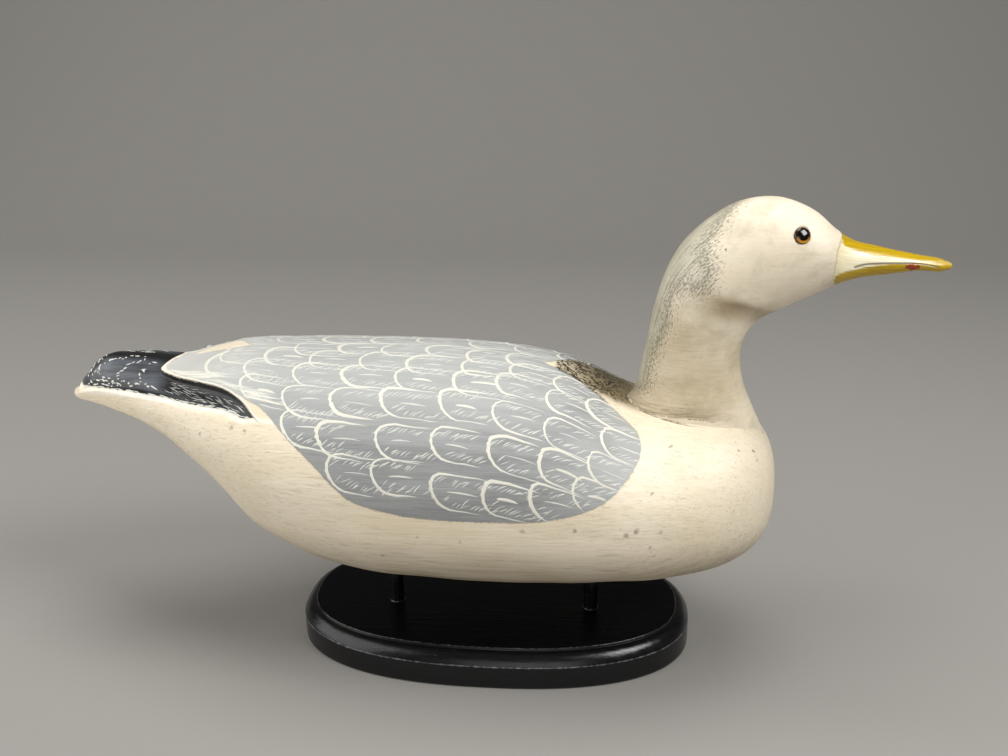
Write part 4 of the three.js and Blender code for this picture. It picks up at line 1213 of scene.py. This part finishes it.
class GULL_OT_head(bpy.types.Operator):
    """Carves and paints the neck, head and bill"""

    bl_idname = "gull.head"
    bl_label = "Head"

    def execute(self, context):
        # Rows lie closer on the bill. The first one closes the foot, and the last four round off the tip.
        end = rib_places()[-1]
        ways = np.linspace(0, end, 2000)
        closeness = 1 + 0.9 * smoothstep(120, 135, ways)
        at = evenly(np.stack([ways, ways * 0], -1), HEAD_ROWS - BILL_TIP_ROWS - 1, closeness)
        row_way = np.concatenate([[0], np.interp(at, np.arange(len(ways)), ways), [end] * BILL_TIP_ROWS])

        def place(u, v):
            row = np.rint(u * HEAD_ROWS).astype(int)
            way, angle = row_way[row], -90 + 360 * v
            points = head_points(way, angle)
            middle = head_points(np.array([end, end]), np.array([-90.0, 90.0])).mean(axis=0)
            for k in range(1, BILL_TIP_ROWS + 1):
                cap = row == HEAD_ROWS - BILL_TIP_ROWS + k
                turn = k / BILL_TIP_ROWS * math.pi / 2
                ahead = np.array([BILL_TIP_LENGTH * math.sin(turn), 0, 0])
                points[cap] = middle + (points[cap] - middle) * math.cos(turn) + ahead
            points[row == 0] = NECK_FOOT
            return points, head_marks(points, way, angle)

        mesh = grid_mesh("head_carving", HEAD_ROWS, HEAD_COLUMNS, place)
        finish_piece("head_carving", mesh, shared(oil_paint_on_pine), "painted_head", "head")
        return {"FINISHED"}


class GULL_OT_putty(bpy.types.Operator):
    """Fills the corner between neck and body with a rough fillet of putty"""

    bl_idname = "gull.putty"
    bl_label = "Neck Putty"

    def execute(self, context):
        # The way up the neck where each of its lines leaves the body, by halving.
        angles = np.linspace(-90, 270, PUTTY_COLUMNS + 1)
        low, high = np.full(len(angles), 0.5), np.full(len(angles), 40.0)
        for _ in range(26):
            middle = (low + high) / 2
            inside = body_field(head_points(middle, angles)) < 0
            low, high = np.where(inside, middle, low), np.where(inside, high, middle)

        draw = np.random.default_rng(3)
        waves = [np.sin(angles * DEGREE * k + draw.uniform(0, 6.28)) / k**0.5 for k in range(5, 60, 3)]
        rough = sum(waves) / 4

        def width(shift):
            return np.clip(PUTTY_WIDTH + PUTTY_UNEVENNESS * np.roll(rough, shift), PUTTY_LEAST, PUTTY_MOST)

        corner = head_points(low, angles)
        up = head_points(low + width(0), angles, -0.12)
        inner = head_points(low, angles, -1.2) - [0, 0, 1.2]
        outward = head_points(low, angles, 1.0) - corner
        outward /= np.linalg.norm(outward, axis=1, keepdims=True)
        out = corner + outward * width(40)[:, None]
        out = out - body_slope(out) * (body_field(out) + 0.004)[:, None]
        face = (up + out) / 2 * 0.6 + corner * 0.4
        rings = np.stack([inner, out, face, up, inner], 1)
        across = rings.shape[1] - 1
        dirt = np.clip(0.8 + 0.6 * np.roll(rough, 90), 0.2, 1) * smoothstep(-15, 25, folded(angles))

        def place(u, v):
            column = np.rint(u * PUTTY_COLUMNS).astype(int)
            points = rings[column, np.rint(v * across).astype(int)]
            away = np.full(len(points), -40.0)
            return points, {"grey_mm": away, "black_mm": away, "wing_mm": away, "grime": dirt[column]}

        mesh = grid_mesh("neck_putty", PUTTY_COLUMNS, across, place)
        finish_piece("neck_putty", mesh, shared(oil_paint_on_cedar), "painted_body")
        return {"FINISHED"}


class GULL_OT_feathers(bpy.types.Operator):
    """Paints the white feather strokes on the grey and the dashes on the wing tips"""

    bl_idname = "gull.feathers"
    bl_label = "Feather Strokes"

    def execute(self, context):
        height = context.scene.gull_carving.stroke_height / MM
        draw = np.random.default_rng(21)
        longs, shorts = [], []
        for side in (-1, 1):
            for row in FEATHERS:
                for tip_x, tip_angle in row:
                    if side > 0 and tip_angle > 87:
                        continue
                    long, short = feather_paths(tip_x, tip_angle, side, draw)
                    longs += long
                    shorts += short
            longs += self.wing_end_streaks(side, draw)
        bm = bmesh.new()
        for group in (longs, shorts):
            paths, widths = np.array([path for path, _ in group]), np.array([width for _, width in group])
            widths = widths * smoothstep(-0.2, 1.0, grey_mm(paths[..., 0], paths[..., 1]))
            widths[:, [0, -1]] = np.minimum(widths[:, [0, -1]], 0.1)
            seen = widths.max(axis=1) > 0.2
            strokes(bm, paths[seen], widths[seen], height)
        self.finish_strokes(bm, "feather_strokes")

        dashes = []
        for side in (-1, 1):
            for arc in DASH_ARCS:
                dashes += self.arc_dashes(rounded(arc, 12), side, draw)
            dashes += self.scratches(side, draw) + self.slab_dabs(side, draw)
        bm = bmesh.new()
        strokes(bm, [path for path, _ in dashes], [width for _, width in dashes], 1.6 * height)
        self.finish_strokes(bm, "wing_tip_dashes")
        return {"FINISHED"}

    def arc_dashes(self, path, side, draw):
        """Short dashes that follow one another along an arc, with a gap here and there."""
        made = []
        spot = body_points(path[:, 0], path[:, 1])
        far = np.concatenate([[0], np.cumsum(np.linalg.norm(np.diff(spot, axis=0), axis=1))])
        for at in np.arange(1, far[-1] - 1, DASH_SPACING):
            if draw.random() < 0.12:
                continue
            long = draw.uniform(1.0, 2.9)
            here = np.clip(at + np.linspace(-0.5, 0.5, 4) * long, 0, far[-1])
            x, angle = np.interp(here, far, path[:, 0]), np.interp(here, far, path[:, 1])
            lean = np.linspace(-1, 1, 4) * draw.normal() * 0.6
            per_degree = max(0.25, float(along(HALF_WIDTH, x[1])) * DEGREE)
            x = x + draw.normal() * 0.6 + lean
            angle = angle + (draw.normal() * 0.7 - lean * 0.5) / per_degree
            width = draw.uniform(0.75, 1.35) * np.array([0.3, 1, 0.85, 0.2])
            made.append((on_side(x, angle, side), width))
        return made

    def scratches(self, side, draw):
        """Thin light scratches in the black hollow under the wing's lip."""
        made = []
        for _ in range(SCRATCHES):
            x = draw.uniform(-172, -122)
            angle = draw.uniform(37.5, float(np.interp(x, [-170, -142, -126], [53, 47, 42])))
            v = np.linspace(0, 1, 4) * draw.uniform(2, 7)
            spots = on_side(x + v, angle - v * (0.25 + draw.normal() * 0.25), side)
            made.append((spots, draw.uniform(0.22, 0.42) * np.array([0.2, 1, 0.9, 0.15])))
        return made

    def slab_dabs(self, side, draw):
        """Ragged dabs of white that stray from the slab onto the black's lower edge."""
        made = []
        edge = rounded(BLACK_EDGE, 4)
        for _ in range(DABS):
            x = draw.uniform(-222, -118)
            angle = np.interp(-x, -edge[:, 0], edge[:, 1])
            v = np.linspace(-0.5, 0.5, 4) * draw.uniform(1.5, 6)
            spots = on_side(x + v, angle + draw.uniform(-0.4, 1.4) + v * draw.normal() * 0.1, side)
            made.append((spots, draw.uniform(0.3, 0.95) * np.array([0.3, 1, 0.9, 0.2])))
        return made

    def wing_end_streaks(self, side, draw):
        """Long pale brush strokes that fan forward from the wings' rounded ends."""
        made = []
        end = rounded(WING_END, 8)
        for at in np.linspace(26, 72, STREAKS):
            x, angle = end[int(at)]
            x, angle = x + draw.uniform(2, 9), angle + draw.uniform(0.5, 2.5)
            v = np.linspace(0, 1, STROKE_PLACES)
            long = draw.uniform(10, 26)
            spots = on_side(x + v * long, angle + draw.uniform(-1.5, 2.0) * v, side)
            width = draw.uniform(0.6, 1.8) * np.sin(np.clip(v * 0.93 + 0.07, 0, 1) * math.pi) ** 0.6
            made.append((spots, width))
        return made

    def finish_strokes(self, bm, name):
        bmesh.ops.remove_doubles(bm, verts=bm.verts, dist=0.004 * MM)
        bmesh.ops.recalc_face_normals(bm, faces=bm.faces)
        finish_piece(name, mesh_from(bm, name), shared(brushed_white_oil_paint), "painted_body")


class GULL_OT_eyes(bpy.types.Operator):
    """Sets the two glass eyes"""

    bl_idname = "gull.eyes"
    bl_label = "Eyes"

    def execute(self, context):
        # The place on the plain right cheek that lies on the eye's point in the side view.
        ways, angles = np.meshgrid(np.linspace(115, 135, 201), np.linspace(0, 60, 241), indexing="ij")
        mx, mz, hx, hz, width = head_ring(ways)
        c, s = np.cos(angles * DEGREE), np.sin(angles * DEGREE)
        cheek = np.stack([mx + hx * s, -width * c, mz + hz * s], -1)
        off = np.linalg.norm(cheek[..., [0, 2]] - EYE_AT, axis=-1)
        i, j = np.unravel_index(off.argmin(), off.shape)
        seat = cheek[i, j]
        out = np.cross(cheek[i + 4, j] - cheek[i - 4, j], cheek[i, j + 4] - cheek[i, j - 4])
        out = Vector(out).normalized()
        if out.y > 0:
            out = -out

        dome = np.linspace(0, math.pi / 2, 12)
        profile = [(EYE_RADIUS * math.sin(a), EYE_DOME * math.cos(a)) for a in dome]
        profile += [(EYE_RADIUS, -EYE_SUNK), (0, -EYE_SUNK)]
        for name, side in (("left", 1), ("right", -1)):
            bm = turned(profile, 0, 48)
            radius = bm.verts.layers.float.new("radius_mm")
            level = bm.verts.layers.float.new("level_mm")
            for vert in bm.verts:
                vert[radius] = math.hypot(vert.co.x, vert.co.y) / MM
            turn = Vector((out.x, -side * out.y, out.z)).to_track_quat("Z", "Y").to_matrix().to_4x4()
            at = Vector((seat[0], -side * seat[1], seat[2])) * MM
            bmesh.ops.transform(bm, matrix=Matrix.Translation(at) @ turn, verts=bm.verts)
            for vert in bm.verts:
                vert[level] = (vert.co.z - at.z) / MM
            mesh = mesh_from(bm, f"eye_{name}_glass")
            mesh.shade_smooth()
            finish_piece(f"eye_{name}_glass", mesh, shared(amber_glass_eye), "glass_eye", f"eye_{name}")
        return {"FINISHED"}


class GULL_OT_base(bpy.types.Operator):
    """Makes the oval board with its moulded edge"""

    bl_idname = "gull.base"
    bl_label = "Base"

    def execute(self, context):
        # The edge's profile as insets and heights: up the side to the arris, over the quarter round, and
        # up a small fillet to the flat top.
        across = BASE_TOP_INSET - BASE_FILLET_INSET
        up = BASE_HEIGHT - BASE_ARRIS - BASE_FILLET_DROP
        start = BASE_OVOLO_START * DEGREE
        profile = [(BASE_HALF_WIDTH, 0), (30, 0), (6, 0), (2, 0), (1, 0.05), (0.4, 0.4), (0.05, 1), (0, 2)]
        profile += [(0, 5), (0, 9), (0, BASE_ARRIS - 1.1), (0.03, BASE_ARRIS - 0.4), (0.2, BASE_ARRIS - 0.05)]
        for a in np.linspace(start + 0.06, math.pi / 2, 14):
            inset = 0.2 + across * (1 - math.cos(a) / math.cos(start))
            profile.append((inset, BASE_ARRIS + up * (math.sin(a) - math.sin(start)) / (1 - math.sin(start))))
        for further, drop in ((0.3, 1.5), (0.35, 0.7), (0.6, 0.2), (1.0, 0.03)):
            profile.append((across + further, BASE_HEIGHT - drop))
        profile += [(inset, BASE_HEIGHT) for inset in (BASE_TOP_INSET, 14, 24, 40, BASE_HALF_WIDTH)]
        profile = np.array(profile)
        rows, columns = len(profile) - 1, 192

        def place(u, v):
            row = np.rint(u * rows).astype(int)
            inset, z = profile[row].T
            c, s = np.cos(v * 2 * math.pi), np.sin(v * 2 * math.pi)
            exponent = 2 / BASE_SQUARENESS
            full = np.maximum(0, BASE_HALF_WIDTH - inset) / BASE_HALF_WIDTH
            length = (BASE_HALF_LENGTH - inset) * np.where(full > 0, 1, 0)
            x = length * power(c, exponent)
            y = BASE_SET_BACK + BASE_HALF_WIDTH * full * power(s, exponent)
            # The arris and the top edge are marked for lightening, partly for wear and partly as a painted
            # highlight where they catch the light.
            worn = np.exp(-(((z - BASE_ARRIS) / 0.7) ** 2))
            top_edge = np.exp(-(((z - BASE_HEIGHT + 0.2) / 0.3) ** 2)) * (inset < BASE_TOP_INSET)
            worn = np.maximum(worn, 0.8 * top_edge)
            polish = np.where(inset > BASE_TOP_INSET - 0.5, 0.06, 0.4)
            return np.stack([x, y, z], -1), {"worn": worn, "polish": polish}

        mesh = grid_mesh("base_board", rows, columns, place)
        finish_piece("base_board", mesh, shared(satin_black_enamel), "black_stand", "base")
        return {"FINISHED"}


class GULL_OT_dowels(bpy.types.Operator):
    """Turns the two dowels, with a little glue round each foot"""

    bl_idname = "gull.dowels"
    bl_label = "Dowels"

    def execute(self, context):
        for name, x in (("post_rear", -DOWELS_APART / 2), ("post_front", DOWELS_APART / 2)):
            low, high = BASE_HEIGHT - DOWEL_IN_BASE, body_points(x, -90.0)[2] + DOWEL_IN_BODY
            profile = [(0, low), (DOWEL_RADIUS - DOWEL_CHAMFER, low), (DOWEL_RADIUS, low + DOWEL_CHAMFER)]
            profile.append((DOWEL_RADIUS, BASE_HEIGHT - 1))
            for a in np.linspace(0, math.pi / 2, 6):
                glue = (GLUE_WIDTH * (1 - math.sin(a)), GLUE_HEIGHT * (1 - math.cos(a)) - 0.1)
                profile.append((DOWEL_RADIUS + glue[0], BASE_HEIGHT + glue[1]))
            profile += [(DOWEL_RADIUS, level) for level in (30, 45, 56, high - DOWEL_CHAMFER)]
            profile += [(DOWEL_RADIUS - DOWEL_CHAMFER, high), (0, high)]
            bm = turned(profile, x, 40)
            worn, polish = bm.verts.layers.float.new("worn"), bm.verts.layers.float.new("polish")
            for vert in bm.verts:
                vert[worn] = 0.6 if abs(vert.co.z / MM - BASE_HEIGHT - 0.2) < 0.4 else 0
                vert[polish] = 0.45
            mesh = mesh_from(bm, f"{name}_dowel")
            mesh.shade_smooth()
            finish_piece(f"{name}_dowel", mesh, shared(satin_black_enamel), "black_stand", name)
        return {"FINISHED"}


class GULL_OT_stage(bpy.types.Operator):
    """Lays the floor, hangs the lights and sets up the camera"""

    bl_idname = "gull.stage"
    bl_label = "Stage"

    def execute(self, context):
        scene, stage = context.scene, context.scene.gull_stage

        # A floor 6 m square that curves up into a wall behind the object.
        bm = bmesh.new()
        bmesh.ops.create_grid(bm, x_segments=1, y_segments=1, size=3)
        bmesh.ops.translate(bm, vec=(0, -2.2, 0), verts=bm.verts)
        back = [edge for edge in bm.edges if all(v.co.y > 0 for v in edge.verts)]
        sweep = bmesh.ops.spin(bm, geom=back, cent=(0, 0.8, 0.7), axis=(1, 0, 0), angle=math.pi / 2, steps=24)
        wall = [edge for edge in sweep["geom_last"] if isinstance(edge, bmesh.types.BMEdge)]
        raised = bmesh.ops.extrude_edge_only(bm, edges=wall)["geom"]
        bmesh.ops.translate(bm, vec=(0, 0, 2), verts=[v for v in raised if isinstance(v, bmesh.types.BMVert)])
        bmesh.ops.recalc_face_normals(bm, faces=bm.faces)
        mesh = mesh_from(bm, "floor")
        mesh.shade_smooth()
        mesh.materials.append(backdrop_paper())
        floor = bpy.data.objects.new("floor", mesh)
        scene.collection.objects.link(floor)

        # Square lights: where each one hangs and what it aims at, in metres, its side and its power.
        lights = [
            ("left_window", (-1.0, -0.4, 0.62), (0, 0, 0.1), 1.15, stage.left),
            ("right_window", (0.78, -0.45, 1.02), (0, 0, 0.1), 0.5, stage.right),
            ("front", (0.15, -1.5, 0.6), (0, 0, 0.15), 0.8, stage.front),
            ("overhead", (0.05, 0, 1.4), (0, 0, 0.1), 0.7, stage.overhead),
            ("backdrop", (-1.1, 0.3, 0.9), (-0.7, 1.5, 0.4), 0.5, stage.backdrop),
        ]
        for name, at, aim, size, watts in lights:
            light = bpy.data.lights.new(name, "AREA")
            light.energy, light.size, light.shape = watts, size, "SQUARE"
            lamp = bpy.data.objects.new(name, light)
            lamp.location = at
            lamp.rotation_euler = (Vector(aim) - Vector(at)).to_track_quat("-Z", "Y").to_euler()
            scene.collection.objects.link(lamp)

        world = bpy.data.worlds.new("room")
        world.use_nodes = True
        world.node_tree.nodes.clear()
        light = add(world.node_tree, "ShaderNodeBackground", {0: linear("#f2f1ee"), 1: stage.sky})
        add(world.node_tree, "ShaderNodeOutputWorld", {0: light})
        scene.world = world
        scene.view_settings.view_transform = "Standard"

        turn, tilt, roll = [math.radians(a) for a in (CAMERA_TURN, CAMERA_TILT, CAMERA_ROLL)]
        right = Vector((math.cos(turn), math.sin(turn), 0))
        up = Vector((-math.sin(turn) * math.sin(tilt), math.cos(turn) * math.sin(tilt), math.cos(tilt)))
        across = math.cos(roll) * right - math.sin(roll) * up
        upward = math.sin(roll) * right + math.cos(roll) * up
        matrix = Matrix((across, upward, across.cross(upward))).transposed().to_4x4()
        matrix.translation = Vector(CAMERA_AT) * MM
        data = bpy.data.cameras.new("camera")
        data.lens, data.sensor_width, data.clip_start, data.clip_end = CAMERA_LENS, CAMERA_SENSOR, 0.01, 100
        camera = bpy.data.objects.new("camera", data)
        camera.matrix_world = matrix
        scene.collection.objects.link(camera)
        scene.camera = camera
        return {"FINISHED"}


class GULL_PT_panel(bpy.types.Panel):
    """Lists the gull's pieces in the sidebar"""

    bl_idname = "GULL_PT_panel"
    bl_label = "Gull Decoy"
    bl_space_type = "VIEW_3D"
    bl_region_type = "UI"
    bl_category = "Gull Decoy"

    def draw(self, context):
        for name in ("gull_carving", "gull_paint", "gull_stage"):
            group = getattr(context.scene, name)
            box = self.layout.box()
            for key in group.__annotations__:
                box.prop(group, key)
        for operator in OPERATORS:
            self.layout.operator(operator.bl_idname)


GROUPS = {"gull_carving": GullCarving, "gull_paint": GullPaint, "gull_stage": GullStage}
OPERATORS = (
    GULL_OT_body, GULL_OT_head, GULL_OT_putty, GULL_OT_feathers, GULL_OT_eyes, GULL_OT_base, GULL_OT_dowels,
    GULL_OT_stage,
)


def register():
    for name, group in GROUPS.items():
        bpy.utils.register_class(group)
        setattr(bpy.types.Scene, name, bpy.props.PointerProperty(type=group))
    for cls in (*OPERATORS, GULL_PT_panel):
        bpy.utils.register_class(cls)


def unregister():
    for cls in (GULL_PT_panel, *reversed(OPERATORS)):
        bpy.utils.unregister_class(cls)
    for name, group in GROUPS.items():
        delattr(bpy.types.Scene, name)
        bpy.utils.unregister_class(group)


def main():
    register()
    bpy.ops.gull.body()
    bpy.ops.gull.head()
    bpy.ops.gull.putty()
    bpy.ops.gull.feathers()
    bpy.ops.gull.eyes()
    bpy.ops.gull.base()
    bpy.ops.gull.dowels()
    bpy.ops.gull.stage()


if __name__ == "__main__":
    main()
